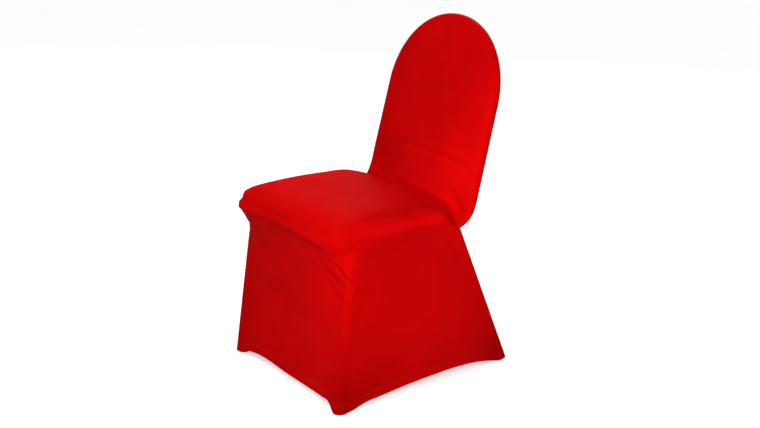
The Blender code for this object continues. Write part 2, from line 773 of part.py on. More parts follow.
def press_folds(skin):
    """Press the folds into the skin along its normals, but keep the seams where they are sewn."""
    shifts = []
    for vertex in skin.verts:
        panels = {PANELS[face.material_index] for face in vertex.link_faces}
        place = np.array(vertex.co)
        depth = sum(fold_depth(place, fold) for fold in FOLDS if fold.panel in panels)
        share = SEAM_FOLD_SHARE if len(panels) > 1 else 1.0
        shifts.append((vertex, vertex.normal * depth * share))
    for vertex, shift in shifts:
        vertex.co -= shift
    skin.normal_update()


def inward_directions(skin):
    """Direction in which the cloth is thick at each point, evened out over its neighbours."""
    directions = {vertex: -vertex.normal for vertex in skin.verts}
    for _ in range(EVENING_PASSES):
        evened = {}
        for vertex, direction in directions.items():
            around = [directions[edge.other_vert(vertex)] for edge in vertex.link_edges]
            evened[vertex] = (direction + sum(around, direction * 0) / len(around)).normalized()
        directions = evened
    return list(directions.values())


def draw_back_from_seams(piece):
    """Move the border of a sheet inwards in its own surface by half the seam gap."""
    shifts = []
    for vertex in piece.verts:
        if not vertex.is_boundary:
            continue
        pull = sum((face.calc_center_median() - vertex.co for face in vertex.link_faces), vertex.co * 0)
        arms = [edge.other_vert(vertex).co - vertex.co for edge in vertex.link_edges if edge.is_boundary]
        first, second = [arm.normalized() for arm in arms]
        along = (first - second).normalized()
        pull -= along * pull.dot(along)
        half_angle = first.angle(second) / 2
        shifts.append((vertex, pull.normalized() * SEAM_GAP / 2 / math.sin(half_angle)))
    for vertex, shift in shifts:
        vertex.co += shift


def cut_piece(skin, panel, inward):
    """Cut one panel out of the skin and give it the cloth's thickness."""
    piece = skin.copy()
    layer = piece.verts.layers.float_vector.new("inward")
    for vertex, direction in zip(piece.verts, inward):
        vertex[layer] = direction
    others = [face for face in piece.faces if face.material_index != PANELS.index(panel)]
    bmesh.ops.delete(piece, geom=others, context="FACES")
    draw_back_from_seams(piece)
    outer = list(piece.faces)
    extruded = bmesh.ops.extrude_face_region(piece, geom=outer, use_keep_orig=True)
    for element in extruded["geom"]:
        if isinstance(element, bmesh.types.BMVert):
            element.co += element[layer] * CLOTH_THICKNESS
    bmesh.ops.recalc_face_normals(piece, faces=piece.faces)
    for face in piece.faces:
        face.material_index = 0
        face.smooth = True
    mesh = bpy.data.meshes.new(panel)
    piece.to_mesh(mesh)
    piece.free()
    return mesh


# Foot pockets


def pocket_mesh(name, leg, side):
    """Turned cup with a flat foot, a little below the hem's corner and inside it."""
    cup = bmesh.new()
    outer = [(step.radius, step.z) for step in POCKET_PROFILE]
    bore = POCKET_PROFILE[-1].radius - POCKET_WALL
    profile = [(0.0, 0.0)] + outer + [(bore, POCKET_HEIGHT), (bore, POCKET_WALL), (0.0, POCKET_WALL)]
    verts = [cup.verts.new((radius, 0, z)) for radius, z in profile]
    edges = [cup.edges.new(pair) for pair in zip(verts, verts[1:])]
    turn = {"cent": (0, 0, 0), "axis": (0, 0, 1), "angle": math.tau, "steps": POCKET_SEGMENTS}
    bmesh.ops.spin(cup, geom=verts + edges, use_merge=True, **turn)
    bmesh.ops.remove_doubles(cup, verts=cup.verts, dist=1e-5)
    for vertex in cup.verts:
        x, y = leg_centre(leg, vertex.co.z)
        vertex.co.x += side * x
        vertex.co.y = vertex.co.y * POCKET_STRETCH + y - POCKET_SET_IN * leg.facing - DEPTH_CENTRE
    bmesh.ops.recalc_face_normals(cup, faces=cup.faces)
    for face in cup.faces:
        face.smooth = True
    mesh = bpy.data.meshes.new(name)
    cup.to_mesh(mesh)
    cup.free()
    return mesh


# Objects


def spandex(name, colour, roughness):
    """Knitted stretch cloth in one colour."""
    material = bpy.data.materials.new(name)
    material.use_nodes = True
    shader = material.node_tree.nodes["Principled BSDF"]
    shader.inputs["Base Color"].default_value = colour
    shader.inputs["Roughness"].default_value = roughness
    shader.inputs["Metallic"].default_value = 0.0
    return material


def add_object(name, mesh, roughness, parent):
    """Put a finished mesh into the scene with its own material."""
    mesh.materials.append(spandex(name + "_cloth", RED, roughness))
    piece = bpy.data.objects.new(name, mesh)
    piece.parent = parent
    bpy.context.collection.objects.link(piece)


def main():
    """Build the cover."""
    for old in list(bpy.data.objects):
        bpy.data.objects.remove(old, do_unlink=True)
    cover = bpy.data.objects.new("chair_cover", None)
    bpy.context.collection.objects.link(cover)
    skin = sew_skin()
    press_folds(skin)
    inward = inward_directions(skin)
    for panel in PANELS:
        add_object(panel, cut_piece(skin, panel, inward), 0.62, cover)
    skin.free()
    for end, leg in (("front", FRONT_LEG), ("rear", REAR_LEG)):
        for hand, side in (("left", -1), ("right", 1)):
            name = f"{end}_{hand}_pocket"
            add_object(name, pocket_mesh(name, leg, side), 0.7, cover)


main()
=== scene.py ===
"""Dressed model of a fitted stretch cover on a round-top banquet chair.

The cover is laid out edge to edge as one knitted skin of point grids. Its folds are pressed in,
and each sewn panel is then cut out of the skin and given its cloth's thickness. Lengths are in
metres: x runs across the chair (right is +), y from front to back and z up from the floor.
"""
import logging
import math
from dataclasses import dataclass, field
from enum import Enum

import bmesh
import bpy
import numpy as np
from mathutils import Matrix, Vector
from mathutils.bvhtree import BVHTree


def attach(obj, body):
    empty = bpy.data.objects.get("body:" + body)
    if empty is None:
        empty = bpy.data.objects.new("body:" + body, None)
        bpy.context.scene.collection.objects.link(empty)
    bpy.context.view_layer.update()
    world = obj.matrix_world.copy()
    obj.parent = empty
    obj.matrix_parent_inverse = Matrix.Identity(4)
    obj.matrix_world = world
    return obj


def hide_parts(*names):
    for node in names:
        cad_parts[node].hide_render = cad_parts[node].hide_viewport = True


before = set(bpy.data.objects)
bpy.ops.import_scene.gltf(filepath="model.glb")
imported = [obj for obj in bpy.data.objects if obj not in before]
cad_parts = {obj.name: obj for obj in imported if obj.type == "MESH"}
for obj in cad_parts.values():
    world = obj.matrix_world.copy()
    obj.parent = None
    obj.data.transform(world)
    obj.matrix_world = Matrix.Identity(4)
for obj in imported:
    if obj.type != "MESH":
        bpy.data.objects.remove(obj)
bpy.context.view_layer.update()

LOG = logging.getLogger("chair_cover")

# The model's y is measured from the middle of the cover's depth, the tables' y from the seat
DEPTH_CENTRE = 0.0348
TINY = 1e-9
WELD = 1e-5
# A rim's turn runs from 0 at its outline, round up to ROUND_END and then flat to RIM_END
ROUND_END = 3
RIM_END = 4
# Length of one wave of Blender's wave texture at scale 1
WAVE_LENGTH = math.tau / 20
# Sockets of a Mix node that mixes colours: the two colours, and the result
FIRST, SECOND, MIXED = 6, 7, 2


class Panel(Enum):
    """Sewn panels of the cover, by the node that each stands for."""

    FRONT = "front_panel"
    REAR = "rear_panel"
    RIGHT = "right_skirt"
    LEFT = "left_skirt"


PANEL_ORDER = list(Panel)


class Facing(Enum):
    """Which way a face of the back looks."""

    FRONT = 1
    REAR = -1


class Hand(Enum):
    """Side of the chair, seen from its front."""

    RIGHT = 1
    LEFT = -1


# Curves and grids


def read_profile(rows: list[tuple[float, float]], at: np.ndarray) -> np.ndarray:
    """Smoothly interpolate a table.

    Args:
        rows: place and value pairs, by rising place.
        at: places to read, clipped to the table's ends.

    Returns:
        The values at those places.
    """
    places = np.array([row[0] for row in rows])
    values = np.array([row[1] for row in rows])
    slopes = np.gradient(values, places)
    at = np.clip(at, places[0], places[-1])
    index = np.clip(np.searchsorted(places, at, side="right") - 1, 0, len(rows) - 2)
    span = places[index + 1] - places[index]
    t = (at - places[index]) / span
    start, end = values[index], values[index + 1]
    return (
        start * (1 + 2 * t) * (1 - t) ** 2
        + slopes[index] * span * t * (1 - t) ** 2
        + end * t * t * (3 - 2 * t)
        - slopes[index + 1] * span * t * t * (1 - t)
    )


def smooth_curve(points: list | np.ndarray, steps: int = 12) -> np.ndarray:
    """Run a Catmull-Rom curve through a few points.

    Args:
        points: points to pass through.
        steps: steps between neighbours.

    Returns:
        The dense curve, both ends included.
    """
    points = np.array(points, dtype=float)
    padded = np.vstack([2 * points[0] - points[1], points, 2 * points[-1] - points[-2]])
    curve = []
    for i in range(1, len(padded) - 2):
        before, start, end, after = padded[i - 1: i + 3]
        for t in np.arange(steps) / steps:
            curve.append(
                start
                + 0.5 * t * (end - before)
                + t * t * (before - 2.5 * start + 2 * end - 0.5 * after)
                + t ** 3 * (1.5 * (start - end) + 0.5 * (after - before))
            )
    curve.append(points[-1])
    return np.array(curve)


def run_lengths(curve: np.ndarray) -> np.ndarray:
    """Length along a curve from its start to each of its points."""
    return np.concatenate([[0], np.cumsum(np.linalg.norm(np.diff(curve, axis=0), axis=1))])


def spread(curve: np.ndarray, shares: np.ndarray | list[float]) -> np.ndarray:
    """Take points on a dense curve at the given shares of its length."""
    lengths = run_lengths(curve)
    wanted = np.asarray(shares) * lengths[-1]
    return np.stack([np.interp(wanted, lengths, curve[:, axis]) for axis in range(3)], axis=1)


def even(segments: int, power: float = 1.0) -> np.ndarray:
    """Shares from 0 to 1, closer together at the start where power is above 1."""
    return (np.arange(segments + 1) / segments) ** power


def fade(distance: np.ndarray | float, reach: float) -> np.ndarray:
    """Fall smoothly from 1 at no distance to 0 at the reach."""
    t = np.clip(np.asarray(distance) / reach, 0, 1)
    return (1 - t) ** 2 * (1 + 2 * t)


def beyond(values: np.ndarray, limit: tuple[float, float]) -> np.ndarray:
    """Keep 1 up to where a limit starts, and fall smoothly to 0 over its reach."""
    return fade(values - limit[0], limit[1])


def unit(vectors: np.ndarray) -> np.ndarray:
    """Scale rows of vectors to length one."""
    return vectors / (np.linalg.norm(vectors, axis=-1, keepdims=True) + TINY)


def mirrored(points: np.ndarray) -> np.ndarray:
    """Mirror points from the right half to the left."""
    return points * np.array([-1.0, 1.0, 1.0])


def placed(points: tuple | list | np.ndarray) -> np.ndarray:
    """Move points from the tables' coordinates to the model's."""
    return np.array(points) - np.array([0, DEPTH_CENTRE, 0])


def full_row(half: np.ndarray) -> np.ndarray:
    """Join a right half row, from the seam to the middle, with its mirror image."""
    return np.vstack([half, mirrored(half[-2::-1])])


def bulge(points: np.ndarray) -> np.ndarray:
    """Rise smoothly from 0 at a grid's edges to 1 in its middle."""
    u = np.linspace(0, 1, points.shape[1])[None, :]
    v = np.linspace(0, 1, points.shape[0])[:, None]
    return 16 * u * (1 - u) * v * (1 - v)


def length_shares(first: np.ndarray, second: np.ndarray) -> np.ndarray:
    """Shares of the way along two opposite edges, averaged between the two."""
    return sum(run_lengths(edge) / run_lengths(edge)[-1] for edge in (first, second)) / 2


def coons(bottom: np.ndarray, top: np.ndarray, left: np.ndarray, right: np.ndarray) -> np.ndarray:
    """Fill four edges with a patch.

    Args:
        bottom: edge along u at v = 0.
        top: edge along u at v = 1.
        left: edge along v at u = 0.
        right: edge along v at u = 1.

    Returns:
        A grid of points, its rows along v.
    """
    u = length_shares(bottom, top)[None, :, None]
    v = length_shares(left, right)[:, None, None]
    along = (1 - v) * bottom[None] + v * top[None]
    across = (1 - u) * left[:, None] + u * right[:, None]
    near = (1 - u) * bottom[0] + u * bottom[-1]
    far = (1 - u) * top[0] + u * top[-1]
    return along + across - (1 - v) * near - v * far


def faded_edges(values: np.ndarray, reach: float) -> np.ndarray:
    """Keep a grid's values at its edges and fade them out towards its middle."""
    u = np.linspace(0, 1, values.shape[1])[None, :]
    v = np.linspace(0, 1, values.shape[0])[:, None]
    left, right = fade(u, reach), fade(1 - u, reach)
    near, far = fade(v, reach), fade(1 - v, reach)
    edges = near * values[:1] + far * values[-1:] + left * values[:, :1] + right * values[:, -1:]
    near_corners = near * (left * values[0, 0] + right * values[0, -1])
    far_corners = far * (left * values[-1, 0] + right * values[-1, -1])
    return edges - near_corners - far_corners


# Finishes


def linear(colour: str) -> tuple[float, float, float, float]:
    """Turn an sRGB hex colour to linear light."""
    channels = [int(colour[i: i + 2], 16) / 255 for i in (1, 3, 5)]
    light = [c / 12.92 if c <= 0.04045 else ((c + 0.055) / 1.055) ** 2.4 for c in channels]
    return (*light, 1.0)


def set_up(tree: bpy.types.NodeTree, node: bpy.types.Node, settings: dict, links: dict) -> None:
    """Give a node its settings and links.

    Args:
        tree: the node's tree.
        node: node to set up.
        settings: values by a socket's name or number, or by a property's name.
        links: source sockets by the name or number of the socket that each feeds.
    """
    for name, value in settings.items():
        if isinstance(name, int) or name in node.inputs:
            node.inputs[name].default_value = value
        else:
            setattr(node, name, value)
    for socket, source in links.items():
        tree.links.new(source, node.inputs[socket])


def add_node(tree: bpy.types.NodeTree, kind: str, settings: dict, links: dict) -> bpy.types.Node:
    """Add a node of Blender's kind with its settings and links."""
    node = tree.nodes.new(kind)
    set_up(tree, node, settings, links)
    return node


def fresh_tree(name: str) -> tuple[bpy.types.Material, bpy.types.NodeTree, bpy.types.Node]:
    """Start a material and return it with its node tree and its Principled shader."""
    material = bpy.data.materials.new(name)
    material.use_nodes = True
    tree = material.node_tree
    return material, tree, tree.nodes["Principled BSDF"]


def finished(mesh: bmesh.types.BMesh, name: str, material: bpy.types.Material) -> bpy.types.Object:
    """Turn a bmesh into an object at the origin with its material, and free the bmesh."""
    data = bpy.data.meshes.new(name)
    mesh.to_mesh(data)
    mesh.free()
    data.materials.append(material)
    piece = bpy.data.objects.new(name, data)
    bpy.context.collection.objects.link(piece)
    return piece


@dataclass(frozen=True)
class StretchKnit:
    """Warp-knit polyester-elastane, dyed and heat set.

    It looks smooth and softly satin: filament yarn gives a broad low sheen, taut cloth is a
    little lighter and slack cloth a little darker, and fine wales show only close up. The same
    two colours paint shade into folds and shaded zones, and light into lit zones.
    """

    name: str = "warp_knit_polyester_elastane"
    # The lighter colour is also painted light and the darker one painted shade, mixed by the slack
    # attribute
    taut_and_lit: str = "#E40608"
    slack_and_shade: str = "#860001"
    roughness: float = 0.55
    sheen: float = 0.05
    # The real wales are 0.6 mm apart; they are drawn 1.8 mm apart so that they show close up
    wale_pitch: float = 0.0018
    wale_depth: float = 0.00008
    patch_size: float = 0.070
    # The yarn's grain: how many to the metre, and how strongly it shows beside the wales
    grain: float = 900.0
    grain_share: float = 0.5

    def material(self, panel: str) -> bpy.types.Material:
        """Make this finish's material for one panel."""
        material, tree, shader = fresh_tree(f"{panel}_{self.name}")
        place = add_node(tree, "ShaderNodeTexCoord", {}, {})
        knit = add_node(tree, "ShaderNodeUVMap", {"uv_map": "knit"}, {})
        # The slack attribute carries painted shade from folds and zones, and painted light where
        # zones are negative
        slack_and_shade = add_node(tree, "ShaderNodeAttribute", {"attribute_name": "slack_and_shade"}, {})
        patches = add_node(tree, "ShaderNodeTexNoise",
                           {"Scale": 1 / self.patch_size, "Detail": 2.0, "Roughness": 0.45},
                           {"Vector": place.outputs["Object"]})
        drift = add_node(tree, "ShaderNodeMapRange",
                         {"From Min": 0.3, "From Max": 0.7, "To Min": -0.03, "To Max": 0.05},
                         {"Value": patches.outputs["Fac"]})
        share = add_node(tree, "ShaderNodeMath", {"operation": "ADD", "use_clamp": True},
                         {0: slack_and_shade.outputs["Fac"], 1: drift.outputs["Result"]})
        mix = add_node(tree, "ShaderNodeMix",
                       {"data_type": "RGBA", FIRST: linear(self.taut_and_lit), SECOND: linear(self.slack_and_shade)},
                       {"Factor": share.outputs["Value"]})
        wales = add_node(tree, "ShaderNodeTexWave",
                         {"wave_type": "BANDS", "bands_direction": "X", "wave_profile": "SIN",
                          "Scale": WAVE_LENGTH / self.wale_pitch, "Distortion": 0.6,
                          "Detail": 1.0, "Detail Scale": 1.5},
                         {"Vector": knit.outputs["UV"]})
        grain = add_node(tree, "ShaderNodeTexNoise", {"Scale": self.grain, "Detail": 2.0},
                         {"Vector": place.outputs["Object"]})
        relief = add_node(tree, "ShaderNodeMath",
                          {"operation": "MULTIPLY_ADD", 1: self.grain_share},
                          {0: grain.outputs["Fac"], 2: wales.outputs["Fac"]})
        bump = add_node(tree, "ShaderNodeBump", {"Strength": 0.35, "Distance": self.wale_depth},
                        {"Height": relief.outputs["Value"]})
        gloss = add_node(tree, "ShaderNodeMapRange",
                         {"To Min": self.roughness - 0.03, "To Max": self.roughness + 0.06},
                         {"Value": patches.outputs["Fac"]})
        set_up(tree, shader,
               {"IOR": 1.45, "Specular IOR Level": 0.008, "Specular Tint": linear("#FF1810"),
                "Sheen Weight": self.sheen, "Sheen Roughness": 0.45,
                "Sheen Tint": linear("#FF0A08")},
               {"Base Color": mix.outputs[MIXED], "Roughness": gloss.outputs["Result"],
                "Normal": bump.outputs["Normal"]})
        return material


@dataclass(frozen=True)
class SewingThread:
    """Spun polyester sewing thread, dyed to match: matt, with a twist too fine to show."""

    name: str = "spun_polyester_thread"
    colour: str = "#C60A0A"
    shade: str = "#9C0404"

    def material(self, piece: str) -> bpy.types.Material:
        """Make this finish's material for one row of stitches."""
        material, tree, shader = fresh_tree(f"{piece}_{self.name}")
        place = add_node(tree, "ShaderNodeTexCoord", {}, {})
        # The twist is 0.5 mm long and is drawn as noise of that size
        twist = add_node(tree, "ShaderNodeTexNoise", {"Scale": 2000.0, "Detail": 1.0},
                         {"Vector": place.outputs["Object"]})
        mix = add_node(tree, "ShaderNodeMix",
                       {"data_type": "RGBA", FIRST: linear(self.shade),
                        SECOND: linear(self.colour)},
                       {"Factor": twist.outputs["Fac"]})
        bump = add_node(tree, "ShaderNodeBump", {"Strength": 0.4, "Distance": 0.0001},
                        {"Height": twist.outputs["Fac"]})
        set_up(tree, shader, {"Roughness": 0.75},
               {"Base Color": mix.outputs[MIXED], "Normal": bump.outputs["Normal"]})
        return material


@dataclass(frozen=True)
class MattPaper:
    """Seamless studio paper: pale, matt, with a faint tooth."""

    name: str = "seamless_studio_paper"
    colour: str = "#F4F3F2"
    shade: str = "#EDECEB"
    # Light that the paper gives off itself, which keeps it evenly bright
    glow: float = 0.50

    def material(self) -> bpy.types.Material:
        """Make the paper's material."""
        material, tree, shader = fresh_tree(self.name)
        place = add_node(tree, "ShaderNodeTexCoord", {}, {})
        tooth = add_node(tree, "ShaderNodeTexNoise", {"Scale": 2.0, "Detail": 2.0},
                         {"Vector": place.outputs["Object"]})
        mix = add_node(tree, "ShaderNodeMix",
                       {"data_type": "RGBA", FIRST: linear(self.colour),
                        SECOND: linear(self.shade)},
                       {"Factor": tooth.outputs["Fac"]})
        set_up(tree, shader,
               {"Roughness": 0.95, "Emission Color": linear("#FFFFFF"),
                "Emission Strength": self.glow},
               {"Base Color": mix.outputs[MIXED]})
        return material


# Sizes of the chair's shape under the cloth


@dataclass(frozen=True)
class Leg:
    """A straight tube leg under the cloth, on the right; it splays to the floor."""

    floor_y: float
    splay_y: float
    facing: int
    floor_x: float = 0.2357
    splay_x: float = 0.0297
    radius: float = 0.018
    # How squarely a skirt's plan turns to its middle, and how much more so at the rear notch
    squareness: float = 2.0
    squareness_at_notch: float = 2.0
    turn_points: int = 24
    flat_points: int = 40

    def centre(self, z: float) -> tuple[float, float]:
        """Centre of the leg at a height."""
        return self.floor_x - self.splay_x * z, self.floor_y - self.splay_y * z

    def section(self, z: float, middle_y: float) -> np.ndarray:
        """Half section of a skirt: round the leg's outside and on to the middle.

        Args:
            z: height of the section.
            middle_y: where the skirt's middle is at that height.

        Returns:
            Points from the leg seam to the middle line.
        """
        x, y = self.centre(z)
        turn = np.linspace(0, math.pi / 2, self.turn_points)
        arc = [x + self.radius * np.cos(turn), y + self.facing * self.radius * np.sin(turn)]
        across = np.linspace(1, 0, self.flat_points)[1:]
        tangent_y = y + self.facing * self.radius
        power = self.squareness
        if self.facing > 0 and z > WAIST_Z:
            power += self.squareness_at_notch * (z - WAIST_Z) / (NOTCH_Z - WAIST_Z)
        flat = [x * across, tangent_y + (middle_y - tangent_y) * (1 - across ** power)]
        plan = np.stack([np.concatenate(pair) for pair in zip(arc, flat)], axis=1)
        return np.column_stack([plan, np.full(len(plan), z)])


WAIST_Z = 0.343
NOTCH_Z = 0.414
HEM_Z = 0.020
FRONT_LEG = Leg(floor_y=-0.2515, splay_y=-0.1414, facing=-1)
REAR_LEG = Leg(floor_y=0.2994, splay_y=0.4113, facing=1)


def notch() -> tuple[float, float, float]:
    """Point at which the back, the band and the right rear leg's seams meet."""
    x, y = REAR_LEG.centre(NOTCH_Z)
    return x + REAR_LEG.radius, y, NOTCH_Z


@dataclass(frozen=True)
class Density:
    """Segments of the skin along each seam and across each panel."""

    back_side: int = 60
    across: int = 104
    rim: int = 16
    band: int = 56
    corner: int = 40
    tuck: int = 40
    skirt: int = 60
    level_closeness: float = 1.35

    @property
    def skirt_levels(self) -> np.ndarray:
        """Shares of the way down a leg, closer at the hem."""
        return 1 - (1 - np.arange(1, self.skirt + 1) / self.skirt) ** self.level_closeness


@dataclass
class Crease:
    """Crease between seat and back."""

    density: Density
    half_length: float = 0.262
    rim_reach: float = 0.036
    # x, y and z from the middle out to the notch
    line: tuple = (
        (0.000, 0.1810, 0.4625), (0.060, 0.1805, 0.4600), (0.110, 0.1795, 0.4560),
        (0.145, 0.1755, 0.4490), (0.175, 0.1670, 0.4355), (0.206, 0.1480, 0.4240),
        (0.230, 0.1325, 0.4175),
    )

    def shares(self, rim_reach: float, length: float) -> np.ndarray:
        """Shares along a half row: close steps over the rim, then even ones to the middle."""
        rim = np.linspace(0, rim_reach / length, self.density.rim + 1)
        inner = np.linspace(rim_reach / length, 1, self.density.across // 2 + 1)
        return np.concatenate([rim, inner[1:]])

    def row(self) -> np.ndarray:
        """Crease from the right notch to the left one."""
        curve = smooth_curve([notch()] + list(self.line[::-1]))
        return full_row(spread(curve, self.shares(self.rim_reach, self.half_length)))


def pinned(rim: np.ndarray, row: np.ndarray, right_reach: float, left_reach: float) -> np.ndarray:
    """Bend a rim's ends to the row that they meet.

    Args:
        rim: grid of rim points, a row for each outline point.
        row: row that the rim's two ends meet.
        right_reach: how far along the rim its right end bends.
        left_reach: the same for its left end.

    Returns:
        The bent rim.
    """
    width = rim.shape[1]
    right_shift = row[:width] - rim[0]
    left_shift = row[::-1][:width] - rim[-1]
    along = run_lengths(rim[:, 0])
    right_fade = fade(along, right_reach)[:, None, None]
    left_fade = fade(along[-1] - along, left_reach)[:, None, None]
    return rim + right_shift[None] * right_fade + left_shift[None] * left_fade


@dataclass
class BackPad:
    """Round-top back: a leaning pad with a rounded rim."""

    density: Density
    height: float = 0.9285
    lean: float = math.radians(15.5)
    top_y: float = 0.327
    half_width_low: float = 0.227
    half_width_arch: float = 0.222
    low_z: float = 0.450
    arch_height: float = 0.215
    arch_power: float = 2.04
    radius: float = 0.016
    radius_at_notch: float = 0.007
    straight_from: float = 0.485
    rim_reach: float = 1.3
    front_crown: float = 0.003
    bend: float = 0.130
    edge_fade: float = 0.35
    side_closeness: float = 1.2
    middle_z: float = 0.65
    straight_points: int = 6
    arch_points: int = 240
    # y and z of the lower corner, from the notch up to where the pad runs straight
    lower_corner: tuple = ((0.1500, 0.4205), (0.1690, 0.4315), (0.1840, 0.4480), (0.1945, 0.4670))

    @property
    def normal(self) -> np.ndarray:
        """Direction in which the pad's front faces."""
        return np.array([0, -math.cos(self.lean), math.sin(self.lean)])

    def middle_y(self, z: np.ndarray | float) -> np.ndarray | float:
        """Depth of the pad's middle plane at a height."""
        return self.top_y - (self.height - z) * math.tan(self.lean)

    def outline(self) -> np.ndarray:
        """Outline points from the right notch over the arch to the left notch."""
        arch_foot = self.height - self.arch_height
        narrowing = (notch()[0] - self.half_width_low) / (len(self.lower_corner) + 1)
        lower = [notch()]
        for y, z in self.lower_corner:
            lower.append((lower[-1][0] - narrowing, y, z))
        straight = []
        for z in np.linspace(self.straight_from, arch_foot, self.straight_points):
            share = (z - self.low_z) / (arch_foot - self.low_z)
            width = self.half_width_low + (self.half_width_arch - self.half_width_low) * share
            straight.append((width, self.middle_y(z), z))
        angles = np.linspace(0, math.pi / 2, self.arch_points)
        x = self.half_width_arch * np.cos(angles) ** (2 / self.arch_power)
        z = arch_foot + self.arch_height * np.sin(angles) ** (2 / self.arch_power)
        arch = np.stack([x, self.middle_y(z), z], axis=1)
        curve = np.vstack([smooth_curve(lower + straight), arch[1:]])
        corner_x = self.half_width_arch * math.cos(math.pi / 4)
        count = len(angles)
        lengths = run_lengths(curve)
        corner = np.interp(corner_x, curve[:-count:-1, 0], lengths[:-count:-1]) / lengths[-1]
        side = spread(curve, corner * even(self.density.back_side, self.side_closeness))
        top = spread(curve, corner + (1 - corner) * even(self.density.across // 2))
        return full_row(np.vstack([side, top[1:]]))

    def rim(self, facing: Facing) -> np.ndarray:
        """Rounded rim of the pad's front or rear, a row for each outline point."""
        outline = self.outline()
        tangent = unit(np.gradient(outline, axis=0))
        low = fade(outline[:, 2] - NOTCH_Z, self.straight_from - NOTCH_Z)[:, None]
        climbing = np.where(np.arange(len(outline)) < len(outline) // 2, 1, -1)[:, None]
        climb = tangent * climbing
        low_normal = np.stack([0 * climb[:, 0], -climb[:, 2], np.abs(climb[:, 1])], axis=1)
        low_normal = unit(low_normal + TINY)
        normal = unit(low_normal * low + self.normal * (1 - low))
        inward = unit(np.cross(normal, tangent))
        middle = np.array([0, self.middle_y(self.middle_z), self.middle_z])
        inward *= np.sign((inward * (middle - outline)).sum(axis=1))[:, None]
        radius = self.radius + (self.radius_at_notch - self.radius) * low
        rim = []
        for turn in np.linspace(0, RIM_END, self.density.rim + 1):
            angle = math.pi / 2 * min(turn, ROUND_END) / ROUND_END
            across = inward * (1 - math.cos(angle)) + normal * facing.value * math.sin(angle)
            flat = inward * self.rim_reach * max(turn - ROUND_END, 0)
            rim.append(outline + (across + flat) * radius)
        return np.stack(rim, axis=1)

    def patches(self, facing: Facing, lower_row: np.ndarray) -> list[np.ndarray]:
        """Rim and middle of one face of the back.

        Args:
            facing: which face.
            lower_row: row in which the face ends below.

        Returns:
            The two grids of points.
        """
        rim = pinned(self.rim(facing), lower_row, self.bend, self.bend)
        side, top = self.density.back_side, self.density.back_side + self.density.across
        inner = rim[:, -1]
        lower = lower_row[self.density.rim: -self.density.rim]
        middle = coons(lower, inner[side: top + 1], inner[: side + 1], inner[: top - 1: -1])
        face_y = self.middle_y(middle[..., 2]) - facing.value * self.radius / math.cos(self.lean)
        middle[..., 1] = face_y + faded_edges(middle[..., 1] - face_y, self.edge_fade)
        if facing is Facing.FRONT:
            middle = middle + self.front_crown * bulge(middle)[..., None] * self.normal
        return [rim, middle]


